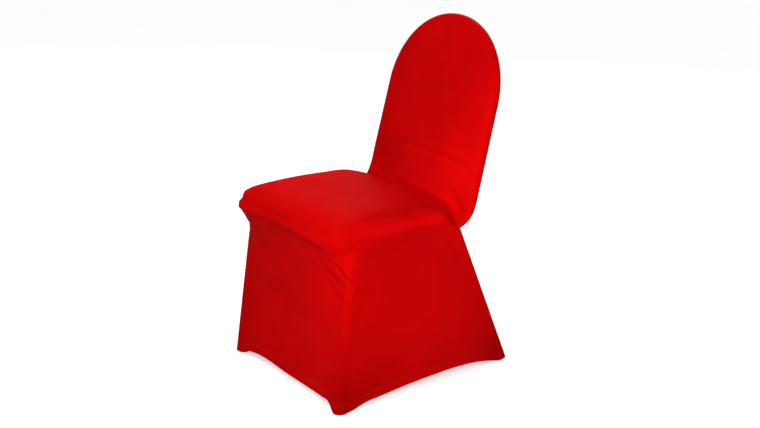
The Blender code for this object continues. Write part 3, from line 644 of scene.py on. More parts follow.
@dataclass
class SeatCushion:
    """Crowned seat whose lower edge is a rounded rectangle."""

    density: Density
    half_width: float = 0.236
    front_y: float = -0.268
    corner_radius: float = 0.050
    flare_length: float = 0.150
    band_closeness: float = 1.3
    corner_share: float = 0.361
    crown_reach: float = 0.100
    crown_power: float = 3.0
    # How much more evenly the crown rises from the right side than from the left
    crown_ease: float = 0.8
    edge_softness: float = 0.014
    edge_fade: float = 0.35
    right_bend: float = 0.120
    left_bend: float = 0.075
    middle_y: float = -0.05
    # How late round the corner the cushion's side turns to its front
    front_lateness: float = 1.5
    side_points: int = 10
    turn_points: int = 32
    front_points: int = 40
    # y and z of the band's lower seam, from the notch forward to where it turns down
    band_line: tuple = (
        (0.1190, 0.4240), (0.1075, 0.4335), (0.0880, 0.4395), (0.0500, 0.4425),
        (-0.0100, 0.4445), (-0.0800, 0.4460), (-0.1300, 0.4445),
    )
    # Height of the lower edge round the front, by the share of the way from seam to middle
    ring_height: tuple = (
        (0.00, 0.4445), (0.25, 0.4420), (0.40, 0.4380), (0.60, 0.4400), (1.00, 0.4470),
    )
    # Height of the band's upper edge and of the crown's ridge, by y
    band_top: tuple = (
        (-0.27, 0.4790), (-0.20, 0.4700), (-0.10, 0.4725), (0.00, 0.4755), (0.075, 0.4755),
        (0.100, 0.4600), (0.130, 0.4300), (0.180, 0.4180),
    )
    left_band_top: tuple = (
        (-0.27, 0.4790), (-0.20, 0.4700), (-0.10, 0.4725), (0.00, 0.4765), (0.09, 0.4765),
        (0.130, 0.4690), (0.155, 0.4520), (0.180, 0.4300),
    )
    crown: tuple = (
        (-0.27, 0.4930), (-0.20, 0.5000), (-0.13, 0.5020), (-0.06, 0.5005), (0.02, 0.4945),
        (0.09, 0.4875), (0.145, 0.4780), (0.181, 0.4625),
    )
    # How the cushion's edge rises: turn, inset and share up at the side, inset and rise in front
    edge: tuple = (
        (0.00, 0.0000, 0.00, 0.0000, 0.0000),
        (0.80, 0.0018, 0.30, 0.0025, 0.0110),
        (1.60, 0.0034, 0.58, 0.0080, 0.0220),
        (2.30, 0.0050, 0.80, 0.0150, 0.0310),
        (2.80, 0.0062, 0.95, 0.0215, 0.0365),
        (3.00, 0.0070, 1.00, 0.0240, 0.0380),
        (3.15, 0.0100, 1.00, 0.0272, 0.0395),
        (3.50, 0.0180, 1.00, 0.0340, 0.0425),
        (4.00, 0.0300, 1.00, 0.0450, 0.0460),
    )

    def shares(self, power: float = 1.0) -> np.ndarray:
        """Shares from the seam's turn to the middle, with a fixed share at the corner."""
        side = self.corner_share * np.arange(self.density.corner) / self.density.corner
        front = self.corner_share + (1 - self.corner_share) * even(self.density.across // 2)
        return np.concatenate([side, front]) ** power

    def front_ring(self) -> np.ndarray:
        """Lower edge from the right seam's turn round the front to the left one."""
        corner_x = self.half_width - self.corner_radius
        corner_y = self.front_y + self.corner_radius
        side = [(self.half_width, y, 0)
                for y in np.linspace(self.band_line[-1][0], corner_y, self.side_points)]
        turn = np.linspace(0, math.pi / 2, self.turn_points)[1:]
        arc = [(corner_x + self.corner_radius * math.cos(angle),
                corner_y - self.corner_radius * math.sin(angle), 0) for angle in turn]
        front = [(x, self.front_y, 0) for x in np.linspace(corner_x, 0, self.front_points)[1:]]
        shares = self.shares()
        half = spread(np.array(side + arc + front), shares)
        half[:, 2] = read_profile(self.ring_height, shares)
        return full_row(half)

    def band_seam(self) -> np.ndarray:
        """Lower edge of the right band, from the notch to the seam's turn."""
        corner = notch()
        rows = [corner]
        for y, z in self.band_line:
            flare = fade(corner[1] - y, self.flare_length) * (corner[0] - self.half_width)
            rows.append((self.half_width + flare, y, z))
        return spread(smooth_curve(rows), even(self.density.band, self.band_closeness))

    def ring(self) -> np.ndarray:
        """Whole lower edge, from the right notch round the front to the left notch."""
        band = self.band_seam()
        return np.vstack([band[:-1], self.front_ring(), mirrored(band[-2::-1])])

    def top_of_band(self, x: np.ndarray, y: np.ndarray) -> np.ndarray:
        """Height of the band's upper edge, which stays high further back on the left."""
        return np.where(x < 0, read_profile(self.left_band_top, y), read_profile(self.band_top, y))

    def surface(self, x: np.ndarray, y: np.ndarray) -> np.ndarray:
        """Height of the cushion's top, crowned inside its edges."""
        side = self.half_width - np.abs(x)
        front = y - self.front_y
        nearness = np.exp(-side / self.edge_softness) + np.exp(-front / self.edge_softness)
        inset = -self.edge_softness * np.log(nearness)
        power = self.crown_power - self.crown_ease * np.clip(x / self.half_width, 0, 1)
        rise = 1 - (1 - np.clip(inset / self.crown_reach, 0, 1)) ** power
        edge = self.top_of_band(x, y)
        return edge + (read_profile(self.crown, y) - edge) * rise

    def rim(self) -> np.ndarray:
        """Band and rounded front edge, a row for each point of the lower edge."""
        ring = self.ring()
        tangent = unit(np.gradient(ring[:, :2], axis=0))
        inward = np.stack([tangent[:, 1], -tangent[:, 0]], axis=1)
        outward = ring[:, :2] - np.array([0, self.middle_y])
        inward *= -np.sign((inward * outward).sum(axis=1))[:, None]
        on_band = ring[:, 1] > self.band_line[-1][0]
        inward[on_band] = np.sign(ring[on_band, :1]) * np.array([-1.0, 0.0])
        frontness = np.clip(inward[:, 1], 0, 1)[:, None] ** self.front_lateness
        rise = self.top_of_band(ring[:, 0], ring[:, 1])[:, None] - ring[:, 2:]
        steps = smooth_curve(self.edge, self.density.rim // (len(self.edge) - 1))
        rim = []
        for _, side_in, side_up, front_in, front_up in steps:
            inset = side_in * (1 - frontness) + front_in * frontness
            up = np.minimum(side_up, 1.0) * rise * (1 - frontness) + front_up * frontness
            rim.append(np.hstack([ring[:, :2] + inward * inset, ring[:, 2:] + up]))
        last = rim[-1]
        step_up = self.surface(last[:, 0], last[:, 1]) - last[:, 2]
        for turn, row in zip(steps[:, 0], rim):
            row[:, 2] += step_up * max(0.0, turn - ROUND_END)
        return np.stack(rim, axis=1)

    def patches(self, crease: np.ndarray) -> list[np.ndarray]:
        """Rim and top of the seat, which meets the back in the crease row."""
        rim = pinned(self.rim(), crease, self.right_bend, self.left_bend)
        side = self.density.band + self.density.corner
        front = side + self.density.across
        inner = rim[:, -1]
        rear = crease[self.density.rim: -self.density.rim]
        top = coons(rear, inner[side: front + 1], inner[: side + 1], inner[: front - 1: -1])
        wanted = self.surface(top[..., 0], top[..., 1])
        top[..., 2] = wanted + faded_edges(top[..., 2] - wanted, self.edge_fade)
        return [rim, top]


@dataclass
class Skirts:
    """Flat skirts stretched between the seat, the legs and the feet."""

    density: Density
    seat: SeatCushion
    crease: Crease
    tuck_depth: float = 0.005
    side_hollow: float = 0.006
    hem_closeness: float = 0.7
    corner_closeness: float = 1.3
    # Share of the way to the middle over which the front skirt follows its seam
    seam_reach: float = 0.45
    rear_waist_y: float = 0.2
    rear_round: float = 1.3
    # y and z of the seam round the cushion's corner, from its turn down to the leg's waist
    corner_line: tuple = (
        (-0.1300, 0.4445), (-0.1520, 0.4350), (-0.1720, 0.4195), (-0.1870, 0.3990),
        (-0.1965, 0.3740), (-0.2030, WAIST_Z),
    )
    # Middle lines by z, and hems by x or y: each arches between the feet and dips to them
    front_middle: tuple = ((0.018, -0.2580), (0.11, -0.2450), (0.20, -0.2390), (WAIST_Z, -0.2430))
    rear_middle: tuple = (
        (0.018, 0.3020), (0.10, 0.2720), (0.20, 0.2380), (0.30, 0.2120), (0.36, 0.2000),
        (NOTCH_Z, 0.1970),
    )
    front_hem: tuple = (
        (-0.250, 0.0048), (-0.222, 0.0080), (-0.195, 0.0190), (-0.160, 0.0250), (0.020, 0.0235),
        (0.180, 0.0265), (0.205, 0.0270), (0.219, 0.0200), (0.231, 0.0090), (0.240, 0.0050),
        (0.250, 0.0048),
    )
    side_hem: tuple = (
        (-0.255, 0.0048), (-0.222, 0.0052), (-0.208, 0.0085), (-0.190, 0.0135),
        (-0.168, 0.0172), (-0.130, 0.0194), (-0.060, 0.0242), (0.030, 0.0275), (0.120, 0.0275),
        (0.170, 0.0245), (0.205, 0.0200), (0.240, 0.0130), (0.268, 0.0065), (0.300, 0.0048),
    )
    rear_hem: tuple = (
        (-0.250, 0.0048), (-0.190, 0.0110), (-0.120, 0.0210), (0.030, 0.0240), (0.150, 0.0190),
        (0.200, 0.0090), (0.250, 0.0048),
    )

    def below_waist(self, leg: Leg, middle: tuple, hem: tuple,
                    shares: np.ndarray) -> list[np.ndarray]:
        """Rows of a front or rear skirt from the waist down to the hem, on both sides.

        Args:
            leg: leg that the skirt runs round.
            middle: table of the skirt's middle line.
            hem: table of its hem.
            shares: shares along each half row.

        Returns:
            Full rows of points.
        """
        lowest = spread(leg.section(HEM_Z, read_profile(middle, HEM_Z)), shares)
        rows = []
        for share in self.density.skirt_levels:
            halves = []
            for hand in Hand:
                half = np.zeros((len(shares), 3))
                for i, foot in enumerate(read_profile(hem, hand.value * lowest[:, 0])):
                    z = WAIST_Z + (foot - WAIST_Z) * share
                    section = leg.section(z, read_profile(middle, z))
                    half[i] = spread(section, [shares[i]])[0]
                halves.append(half)
            rows.append(np.vstack([halves[0], mirrored(halves[1][-2::-1])]))
        return rows

    def corner_seam(self) -> np.ndarray:
        """Seam round the cushion's corner, from its turn down to the leg's waist."""
        leg_x = FRONT_LEG.centre(WAIST_Z)[0] + FRONT_LEG.radius
        narrowing = (leg_x - self.seat.half_width) / (len(self.corner_line) - 1)
        rows = [(self.seat.half_width + narrowing * i, y, z)
                for i, (y, z) in enumerate(self.corner_line)]
        return spread(smooth_curve(rows), even(self.density.tuck))

    def front(self) -> np.ndarray:
        """Front skirt from the cushion to the hem, pulled in to the legs at the waist."""
        shares = self.seat.shares(self.corner_closeness)
        ring = self.seat.front_ring()
        waist_y = read_profile(self.front_middle, WAIST_Z)
        waist = full_row(spread(FRONT_LEG.section(WAIST_Z, waist_y), shares))
        seam = self.corner_seam()
        count = len(ring)
        from_seam = np.minimum(np.arange(count), count - 1 - np.arange(count)) / (count / 2)
        near_seam = fade(from_seam, self.seam_reach)[:, None]
        side = np.where(np.arange(count) < count / 2, 1.0, -1.0)[:, None]
        rows = [ring]
        for share in even(self.density.tuck)[1:]:
            row = ring + (waist - ring) * share
            shift = np.tile(seam[round(share * self.density.tuck)] - row[0], (count, 1))
            shift[:, :1] *= side
            row = row + shift * near_seam
            # The product of the shares is 4/27 at most
            tuck = self.tuck_depth * (27 / 4) * share * (1 - share) ** 2 * (1 - near_seam)
            rows.append(row + tuck * np.array([0, 1, 0]))
        rows += self.below_waist(FRONT_LEG, self.front_middle, self.front_hem, shares)
        return np.array(rows)

    def rear_shares(self) -> np.ndarray:
        """Shares along a half row of the rear skirt: the leg's round, then on to the middle."""
        length = run_lengths(REAR_LEG.section(WAIST_Z, self.rear_waist_y))[-1]
        return self.crease.shares(math.pi / 2 * REAR_LEG.radius * self.rear_round, length)

    def rear(self) -> np.ndarray:
        """Rear skirt from the notch down to the hem; its first row carries the back's rear face."""
        shares = self.rear_shares()
        rows = []
        for z in np.linspace(NOTCH_Z, WAIST_Z, self.density.tuck + 1):
            section = REAR_LEG.section(z, read_profile(self.rear_middle, z))
            rows.append(full_row(spread(section, shares)))
        return np.array(rows + self.below_waist(REAR_LEG, self.rear_middle, self.rear_hem, shares))

    def side(self, hand: Hand, front: np.ndarray, rear: np.ndarray) -> np.ndarray:
        """Side skirt between the front and rear leg seams, under the band.

        Args:
            hand: which side.
            front: the front skirt's grid.
            rear: the rear skirt's grid.

        Returns:
            The side skirt's grid.
        """
        column = 0 if hand is Hand.RIGHT else -1
        top = self.seat.band_seam()[::-1]
        if hand is Hand.LEFT:
            top = mirrored(top)
        front_edge, rear_edge = front[:, column], rear[:, column]
        shares = even(self.density.band)
        shares -= self.hem_closeness * np.sin(math.tau * shares) / math.tau
        hem = front_edge[-1] + (rear_edge[-1] - front_edge[-1]) * shares[:, None]
        hem[1:-1, 2] = read_profile(self.side_hem, hem[1:-1, 1])
        patch = coons(top, hem, front_edge, rear_edge)
        patch[..., 0] -= hand.value * self.side_hollow * bulge(patch)
        return patch


@dataclass(frozen=True)
class Fold:
    """Soft trough where the cloth is pulled, with an optional lip beside it."""

    panel: Panel
    line: tuple
    depth: float
    width: float
    lip: float = 0.0
    fade_start: float = 0.12
    fade_end: float = 0.12
    # Place and width of the lip, as shares of the trough's width
    lip_place: float = 1.9
    lip_width: float = 0.75

    def depths(self, places: np.ndarray) -> np.ndarray:
        """Depth of the trough at each place; a lip counts below zero."""
        line = smooth_curve(placed(self.line), steps=6)
        lengths = run_lengths(line)
        nearest = np.full(len(places), 1.0)
        share = np.zeros(len(places))
        for i in range(len(line) - 1):
            run = line[i + 1] - line[i]
            t = np.clip((places - line[i]) @ run / (run @ run), 0, 1)
            distance = np.linalg.norm(places - line[i] - t[:, None] * run, axis=1)
            closer = distance < nearest
            nearest = np.where(closer, distance, nearest)
            reached = (lengths[i] + t * (lengths[i + 1] - lengths[i])) / lengths[-1]
            share = np.where(closer, reached, share)
        span = 1 - self.fade_start - self.fade_end
        along = np.sin(math.pi * (self.fade_start + span * share))
        ratio = nearest / self.width
        trough = np.exp(-ratio ** 2)
        lip = self.lip * np.exp(-((ratio - self.lip_place) / self.lip_width) ** 2)
        return self.depth * along * (trough - lip)


FOLDS = (
    Fold(Panel.FRONT, ((0.138, -0.257, 0.424), (0.177, -0.248, 0.412), (0.202, -0.234, 0.386),
                       (0.224, -0.219, 0.359), (0.246, -0.206, 0.340)),
         0.0036, 0.0052, 0.45, 0.10, 0.22),
    Fold(Panel.RIGHT, ((0.244, -0.206, 0.342), (0.243, -0.190, 0.322), (0.242, -0.172, 0.302)),
         0.0016, 0.0050, 0.3, 0.45, 0.05),
    Fold(Panel.FRONT, ((0.106, -0.257, 0.422), (0.137, -0.250, 0.398), (0.165, -0.240, 0.369),
                       (0.204, -0.224, 0.338), (0.244, -0.214, 0.318)),
         0.0030, 0.0050, 0.45, 0.10, 0.15),
    Fold(Panel.FRONT, ((0.158, -0.236, 0.356), (0.180, -0.230, 0.328), (0.206, -0.227, 0.304),
                       (0.244, -0.222, 0.288)), 0.0016, 0.0055, 0.4),
    Fold(Panel.FRONT, ((0.070, -0.256, 0.418), (0.098, -0.250, 0.390), (0.130, -0.242, 0.356)),
         0.0012, 0.0070, 0.3),
    Fold(Panel.FRONT, ((0.196, -0.262, 0.444), (0.206, -0.256, 0.436), (0.214, -0.247, 0.426)),
         0.0014, 0.0026, 0.5),
    Fold(Panel.FRONT, ((0.214, -0.258, 0.446), (0.219, -0.250, 0.438), (0.221, -0.243, 0.428)),
         0.0012, 0.0024, 0.5),
    Fold(Panel.FRONT, ((0.230, -0.190, 0.462), (0.234, -0.179, 0.450), (0.236, -0.170, 0.438)),
         0.0010, 0.0030, 0.5),
    Fold(Panel.FRONT, ((0.231, -0.174, 0.461), (0.235, -0.165, 0.450), (0.237, -0.158, 0.441)),
         0.0009, 0.0028, 0.5),
    Fold(Panel.FRONT, ((-0.234, -0.222, 0.466), (-0.216, -0.255, 0.464), (-0.180, -0.260, 0.467)),
         0.0055, 0.0075, 0.3),
    Fold(Panel.FRONT, ((-0.130, -0.262, 0.428), (-0.185, -0.240, 0.396), (-0.243, -0.212, 0.350)),
         0.0030, 0.0080),
    Fold(Panel.FRONT, ((-0.200, -0.262, 0.432), (-0.212, -0.245, 0.405), (-0.236, -0.222, 0.362)),
         0.0016, 0.0070),
    Fold(Panel.FRONT, ((-0.190, 0.212, 0.564), (-0.087, 0.212, 0.573), (0.005, 0.211, 0.570),
                       (0.076, 0.211, 0.569), (0.145, 0.210, 0.565), (0.190, 0.209, 0.559)),
         0.0026, 0.0070, 0.5, 0.12, 0.25),
    Fold(Panel.FRONT, ((0.050, 0.211, 0.571), (0.120, 0.210, 0.567), (0.192, 0.209, 0.558)),
         0.0018, 0.0042, 0.6, 0.10, 0.20),
    Fold(Panel.FRONT, ((-0.110, 0.198, 0.526), (-0.060, 0.199, 0.531), (-0.020, 0.200, 0.533)),
         0.0008, 0.0070),
    Fold(Panel.FRONT, ((0.140, 0.204, 0.547), (0.165, 0.205, 0.549), (0.195, 0.205, 0.549)),
         0.0012, 0.0045, 0.4),
    Fold(Panel.REAR, ((-0.216, 0.160, 0.396), (-0.120, 0.200, 0.412), (-0.030, 0.208, 0.440)),
         0.0050, 0.0120),
    Fold(Panel.REAR, ((0.214, 0.160, 0.394), (0.130, 0.197, 0.408), (0.040, 0.206, 0.434)),
         0.0050, 0.0120),
    Fold(Panel.REAR, ((-0.205, 0.188, 0.346), (-0.150, 0.200, 0.352), (-0.060, 0.204, 0.385)),
         0.0030, 0.0110),
    Fold(Panel.RIGHT, ((0.240, 0.082, 0.410), (0.241, 0.108, 0.380), (0.242, 0.132, 0.330)),
         0.0025, 0.0100),
    Fold(Panel.LEFT, ((-0.240, -0.100, 0.418), (-0.241, -0.145, 0.385), (-0.243, -0.165, 0.340)),
         0.0030, 0.0110),
    Fold(Panel.LEFT, ((-0.240, 0.070, 0.412), (-0.241, 0.100, 0.380), (-0.242, 0.130, 0.326)),
         0.0030, 0.0110),
)


@dataclass(frozen=True)
class PaintedShadeZone:
    """Area of painted shade in the cloth's colour, or where the amount is negative, of painted
    light.
    """

    centre: tuple
    radii: tuple
    amount: float

    def shares(self, places: np.ndarray) -> np.ndarray:
        """How much painted shade each place gets, from the zone's amount fading to nothing; a
        negative amount is painted light.
        """
        ratio = (places - placed(self.centre)) / np.array(self.radii)
        return self.amount * np.exp(-(ratio ** 2).sum(axis=1))


# Painted shade and light: darker along the hems, at the feet, down the front left edge, on the seat
# beside the right band and over the back's left and top; lighter on the right band, round the near
# corner and leg, on the skirts and over the back's right
PAINTED_SHADE_ZONES = [PaintedShadeZone(*row) for row in (
    ((-0.24, -0.25, 0.10), (0.08, 0.08, 0.25), 0.35),
    ((0.24, 0.30, 0.02), (0.06, 0.09, 0.12), 0.55),
    ((-0.24, 0.30, 0.02), (0.06, 0.09, 0.12), 0.45),
    ((0.00, -0.26, 0.01), (0.20, 0.08, 0.07), 0.22),
    ((0.24, 0.02, 0.01), (0.06, 0.20, 0.06), 0.12),
    ((-0.24, 0.02, 0.01), (0.06, 0.20, 0.06), 0.15),
    ((0.00, 0.29, 0.01), (0.20, 0.08, 0.06), 0.20),
    ((0.18, 0.05, 0.490), (0.06, 0.13, 0.016), 0.20),
    ((0.20, -0.09, 0.487), (0.04, 0.08, 0.014), 0.34),
    ((-0.20, 0.26, 0.70), (0.06, 0.12, 0.20), 0.20),
    ((0.00, 0.25, 0.74), (0.26, 0.12, 0.18), 0.16),
    ((-0.16, 0.20, 0.54), (0.09, 0.06, 0.07), 0.40),
    ((0.17, 0.20, 0.51), (0.09, 0.06, 0.08), -0.48),
    ((0.00, -0.265, 0.466), (0.26, 0.03, 0.014), 0.18),
    ((0.238, -0.04, 0.459), (0.010, 0.14, 0.012), -0.42),
    ((0.238, 0.07, 0.456), (0.012, 0.05, 0.014), -0.30),
    ((0.232, -0.22, 0.400), (0.030, 0.03, 0.040), -0.22),
    ((0.242, -0.222, 0.330), (0.014, 0.014, 0.070), -0.16),
    ((0.248, -0.245, 0.130), (0.018, 0.020, 0.120), 0.34),
    ((0.245, -0.150, 0.060), (0.030, 0.090, 0.070), 0.32),
    ((0.13, -0.250, 0.400), (0.090, 0.030, 0.050), -0.30),
    ((0.22, -0.01, 0.484), (0.022, 0.06, 0.010), 0.22),
    ((0.238, 0.11, 0.400), (0.030, 0.06, 0.050), -0.25),
    ((0.06, 0.17, 0.465), (0.120, 0.03, 0.018), -0.20),
    ((0.15, 0.25, 0.640), (0.080, 0.10, 0.120), -0.22),
    ((0.240, 0.05, 0.210), (0.030, 0.16, 0.100), -0.16),
    ((0.238, -0.02, 0.418), (0.020, 0.14, 0.022), 0.14),
    ((0.16, -0.24, 0.250), (0.070, 0.04, 0.120), -0.22),
    ((0.24, -0.26, 0.020), (0.060, 0.06, 0.060), 0.40),
    ((0.215, 0.27, 0.700), (0.030, 0.10, 0.170), -0.30),
)]


@dataclass
class StretchSkin:
    """The whole cover as one welded skin, cut into its sewn panels."""

    density: Density = field(default_factory=Density)
    finish: StretchKnit = field(default_factory=StretchKnit)
    cloth_thickness: float = 0.0012
    seam_fold_share: float = 0.4
    evening_passes: int = 10
    easing_step: float = 0.5
    # Over its front the cushion is rounded from a depth forward and from a height up: where
    # each starts, and over what distance it sets in
    round_depth: tuple = (0.095, 0.075)
    round_height: tuple = (0.446, 0.016)
    round_passes: int = 40
    # The front skirt's waist is eased: its height, and how far up and down, then how far back
    # and how far out it goes, each with the distance over which it ends
    waist_height: tuple = (0.350, 0.060)
    waist_depth: tuple = (-0.200, 0.020)
    waist_half_width: tuple = (0.150, 0.060)
    waist_passes: int = 150
    # Corners where the cloth is drawn out flat: place, how far round it, and passes of easing
    drawn_corners: tuple = (
        ((0.222, -0.250, 0.440), 0.060, 90),
        ((0.204, 0.180, 0.478), 0.045, 50),
        ((-0.204, 0.180, 0.478), 0.045, 50),
    )
    # How far the cloth's colour sits towards the darker one at rest, and how strongly the folds and
    # zones paint shade and light into it
    slack_and_shade_at_rest: float = 0.4
    slack_and_shade_range: float = 0.6
    # Depth of a fold whose cloth is wholly slack and painted in full shade, and the least and most
    # that folds count
    slack_and_shade_fold: float = 0.012
    slack_and_shade_limits: tuple = (-0.1, 0.5)

    def __post_init__(self) -> None:
        """Lay out and press the skin."""
        self.skin = bmesh.new()
        self.lay_out()
        self.ease_seat()
        self.press_folds()
        self.inward = self.inward_directions()
        self.tree = BVHTree.FromBMesh(self.skin)

    def add_patch(self, points: np.ndarray, panel: Panel) -> None:
        """Lay a grid of points into the skin as one patch of a panel, with its knit's map."""
        rows, columns = points.shape[:2]
        grid = bmesh.ops.create_grid(self.skin, x_segments=columns - 1, y_segments=rows - 1,
                                     size=1.0)
        across = np.tile(run_lengths(points[rows // 2]), rows)
        down = np.repeat(run_lengths(points[:, columns // 2]), columns)
        knit = {}
        places = placed(points.reshape(-1, 3))
        for vertex, place, u, v in zip(grid["verts"], places, across, down):
            vertex.co = place
            knit[vertex] = (u, v)
        layer = self.skin.loops.layers.uv.verify()
        for face in {face for vertex in grid["verts"] for face in vertex.link_faces}:
            face.material_index = PANEL_ORDER.index(panel)
            for loop in face.loops:
                loop[layer].uv = knit[loop.vert]

    def lay_out(self) -> None:
        """Build every panel edge to edge, weld them and turn the faces out."""
        crease = Crease(self.density)
        seat = SeatCushion(self.density)
        back = BackPad(self.density)
        skirts = Skirts(self.density, seat, crease)
        self.skin.loops.layers.uv.new("knit")
        self.skin.verts.layers.float.new("slack_and_shade")
        self.skin.verts.layers.float_vector.new("inward")
        front, rear = skirts.front(), skirts.rear()
        self.grids = {
            Panel.FRONT: front,
            Panel.REAR: rear,
            Panel.RIGHT: skirts.side(Hand.RIGHT, front, rear),
            Panel.LEFT: skirts.side(Hand.LEFT, front, rear),
        }
        row = crease.row()
        above = {
            Panel.FRONT: back.patches(Facing.FRONT, row) + seat.patches(row),
            Panel.REAR: back.patches(Facing.REAR, rear[0]),
        }
        for panel, skirt in self.grids.items():
            for patch in above.get(panel, []) + [skirt]:
                self.add_patch(patch, panel)
        bmesh.ops.remove_doubles(self.skin, verts=self.skin.verts, dist=WELD)
        bmesh.ops.recalc_face_normals(self.skin, faces=self.skin.faces)
        top = max(self.skin.faces, key=lambda face: face.calc_center_median().z)
        if top.normal.z < 0:
            bmesh.ops.reverse_faces(self.skin, faces=self.skin.faces)
        self.skin.normal_update()
        self.skin.verts.index_update()
        self.edges = np.array([[vertex.index for vertex in edge.verts]
                               for edge in self.skin.edges])
        self.neighbours = np.bincount(self.edges.ravel(), minlength=len(self.skin.verts))[:, None]

    def averaged(self, values: np.ndarray) -> np.ndarray:
        """Average the values of each vertex's neighbours."""
        around = np.zeros_like(values)
        np.add.at(around, self.edges[:, 0], values[self.edges[:, 1]])
        np.add.at(around, self.edges[:, 1], values[self.edges[:, 0]])
        return around / self.neighbours

    def ease_seat(self) -> None:
        """Round the cushion over its front, and leave its edge along the side bands crisp."""
        places = np.array([vertex.co for vertex in self.skin.verts])
        seam = np.array([len({face.material_index for face in vertex.link_faces}) > 1
                         for vertex in self.skin.verts])
        x, y, z = places[:, 0], places[:, 1] + DEPTH_CENTRE, places[:, 2]
        rounding = (1 - beyond(-y, self.round_depth)) * (1 - beyond(z, self.round_height))
        height, reach = self.waist_height
        waist = fade(np.abs(z - height), reach) * beyond(y, self.waist_depth)
        waist *= beyond(np.abs(x), self.waist_half_width)
        eased = [(rounding, self.round_passes), (waist, self.waist_passes)]
        for corner, reach, passes in self.drawn_corners:
            distance = np.linalg.norm(places - placed(corner), axis=1)
            eased.append((fade(distance, reach), passes))
        for ease, passes in eased:
            ease[seam] = 0
            for _ in range(passes):
                places += ease[:, None] * self.easing_step * (self.averaged(places) - places)
        for vertex, place in zip(self.skin.verts, places):
            vertex.co = place
        self.skin.normal_update()

    def press_folds(self) -> None:
        """Press the folds in along the normals, less where the seams are sewn."""
        verts = list(self.skin.verts)
        places = np.array([vertex.co for vertex in verts])
        panels = [{PANEL_ORDER[face.material_index] for face in vertex.link_faces}
                  for vertex in verts]
        depth = np.zeros(len(verts))
        for fold in FOLDS:
            on_panel = np.array([fold.panel in group for group in panels])
            depth[on_panel] += fold.depths(places[on_panel])
        seam = np.array([len(group) > 1 for group in panels])
        depth[seam] *= self.seam_fold_share
        # Folds darken the colour as painted shade, partly for slacker cloth, and the zones paint
        # shade and light
        layer = self.skin.verts.layers.float["slack_and_shade"]
        slack_and_shade = np.clip(depth / self.slack_and_shade_fold, *self.slack_and_shade_limits)
        for zone in PAINTED_SHADE_ZONES:
            slack_and_shade += zone.shares(places)
        slack_and_shade = self.slack_and_shade_at_rest + self.slack_and_shade_range * slack_and_shade
        for vertex, shift, share in zip(verts, depth, slack_and_shade):
            vertex[layer] = float(np.clip(share, 0.0, 1.0))
            vertex.co -= vertex.normal * shift
        self.skin.normal_update()

    def inward_directions(self) -> np.ndarray:
        """Direction in which the cloth is thick at each point, evened out over its neighbours."""
        directions = -np.array([vertex.normal for vertex in self.skin.verts])
        for _ in range(self.evening_passes):
            directions = unit(directions + self.averaged(directions))
        return directions

    def cut(self, panel: Panel) -> bpy.types.Object:
        """Cut one panel out of the skin and give it the cloth's thickness."""
        piece = self.skin.copy()
        layer = piece.verts.layers.float_vector["inward"]
        for vertex, direction in zip(piece.verts, self.inward):
            vertex[layer] = direction
        others = [face for face in piece.faces if face.material_index != PANEL_ORDER.index(panel)]
        bmesh.ops.delete(piece, geom=others, context="FACES")
        outer = list(piece.faces)
        extruded = bmesh.ops.extrude_face_region(piece, geom=outer, use_keep_orig=True)
        inner = {element for element in extruded["geom"] if isinstance(element, bmesh.types.BMVert)}
        for vertex in inner:
            vertex.co += vertex[layer] * self.cloth_thickness
        bmesh.ops.recalc_face_normals(piece, faces=piece.faces)
        for face in piece.faces:
            face.material_index = 0
            face.smooth = True
            corners = {vertex in inner for vertex in face.verts}
            if len(corners) == 2:
                for edge in face.edges:
                    edge.smooth = len({vertex in inner for vertex in edge.verts}) == 2
        piece.verts.layers.float_vector.remove(piece.verts.layers.float_vector["inward"])
        return finished(piece, f"{panel.value}_sheet", self.finish.material(panel.value))

    def dress(self) -> None:
        """Cut every panel, hang it on the root and hide the model's part that it stands for.
        """
        for panel in Panel:
            piece = self.cut(panel)
            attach(piece, "root")
            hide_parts(panel.value)
            LOG.info("%s: %d faces", piece.name, len(piece.data.polygons))


@dataclass
class HemStitching:
    """Twin rows of stitches that hold up the turned hem."""

    skin: StretchSkin
    finish: SewingThread = field(default_factory=SewingThread)
    above_edge: float = 0.018
    row_gap: float = 0.0045
    pitch: float = 0.0036
    stitch: tuple = (0.00125, 0.00036, 0.00028)

    def rows(self, grid: np.ndarray) -> list[np.ndarray]:
        """The two lines of stitches on a skirt, from its grid of points."""
        lines = []
        for rise in (self.above_edge, self.above_edge + self.row_gap):
            line = []
            for column in grid.transpose(1, 0, 2)[:, ::-1]:
                lengths = run_lengths(column)
                line.append([np.interp(rise, lengths, column[:, axis]) for axis in range(3)])
            lines.append(placed(line))
        return lines

    def build(self, panel: Panel, grid: np.ndarray) -> bpy.types.Object:
        """Sew one panel's hem.

        Args:
            panel: panel that carries the stitches.
            grid: its skirt's grid of points.

        Returns:
            The stitches as one piece.
        """
        sewn = bmesh.new()
        for line in self.rows(grid):
            count = int(run_lengths(line)[-1] / self.pitch)
            points = spread(line, (np.arange(count) + 0.5) / count)
            for i, point in enumerate(points):
                ahead = points[min(i + 1, count - 1)] - points[max(i - 1, 0)]
                place, normal, _, _ = self.skin.tree.find_nearest(Vector(point))
                along = Vector(ahead).normalized()
                across = normal.cross(along).normalized()
                turn = Matrix((along, across, along.cross(across))).transposed().to_4x4()
                size = Matrix.Diagonal((*self.stitch, 1.0))
                bmesh.ops.create_icosphere(sewn, subdivisions=1, radius=1.0,
                                           matrix=Matrix.Translation(place) @ turn @ size)
        for face in sewn.faces:
            face.smooth = True
        name = f"{panel.value}_hem_stitches"
        piece = finished(sewn, name, self.finish.material(name))
        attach(piece, "root")
        LOG.info("%s: %d faces", name, len(piece.data.polygons))
        return piece


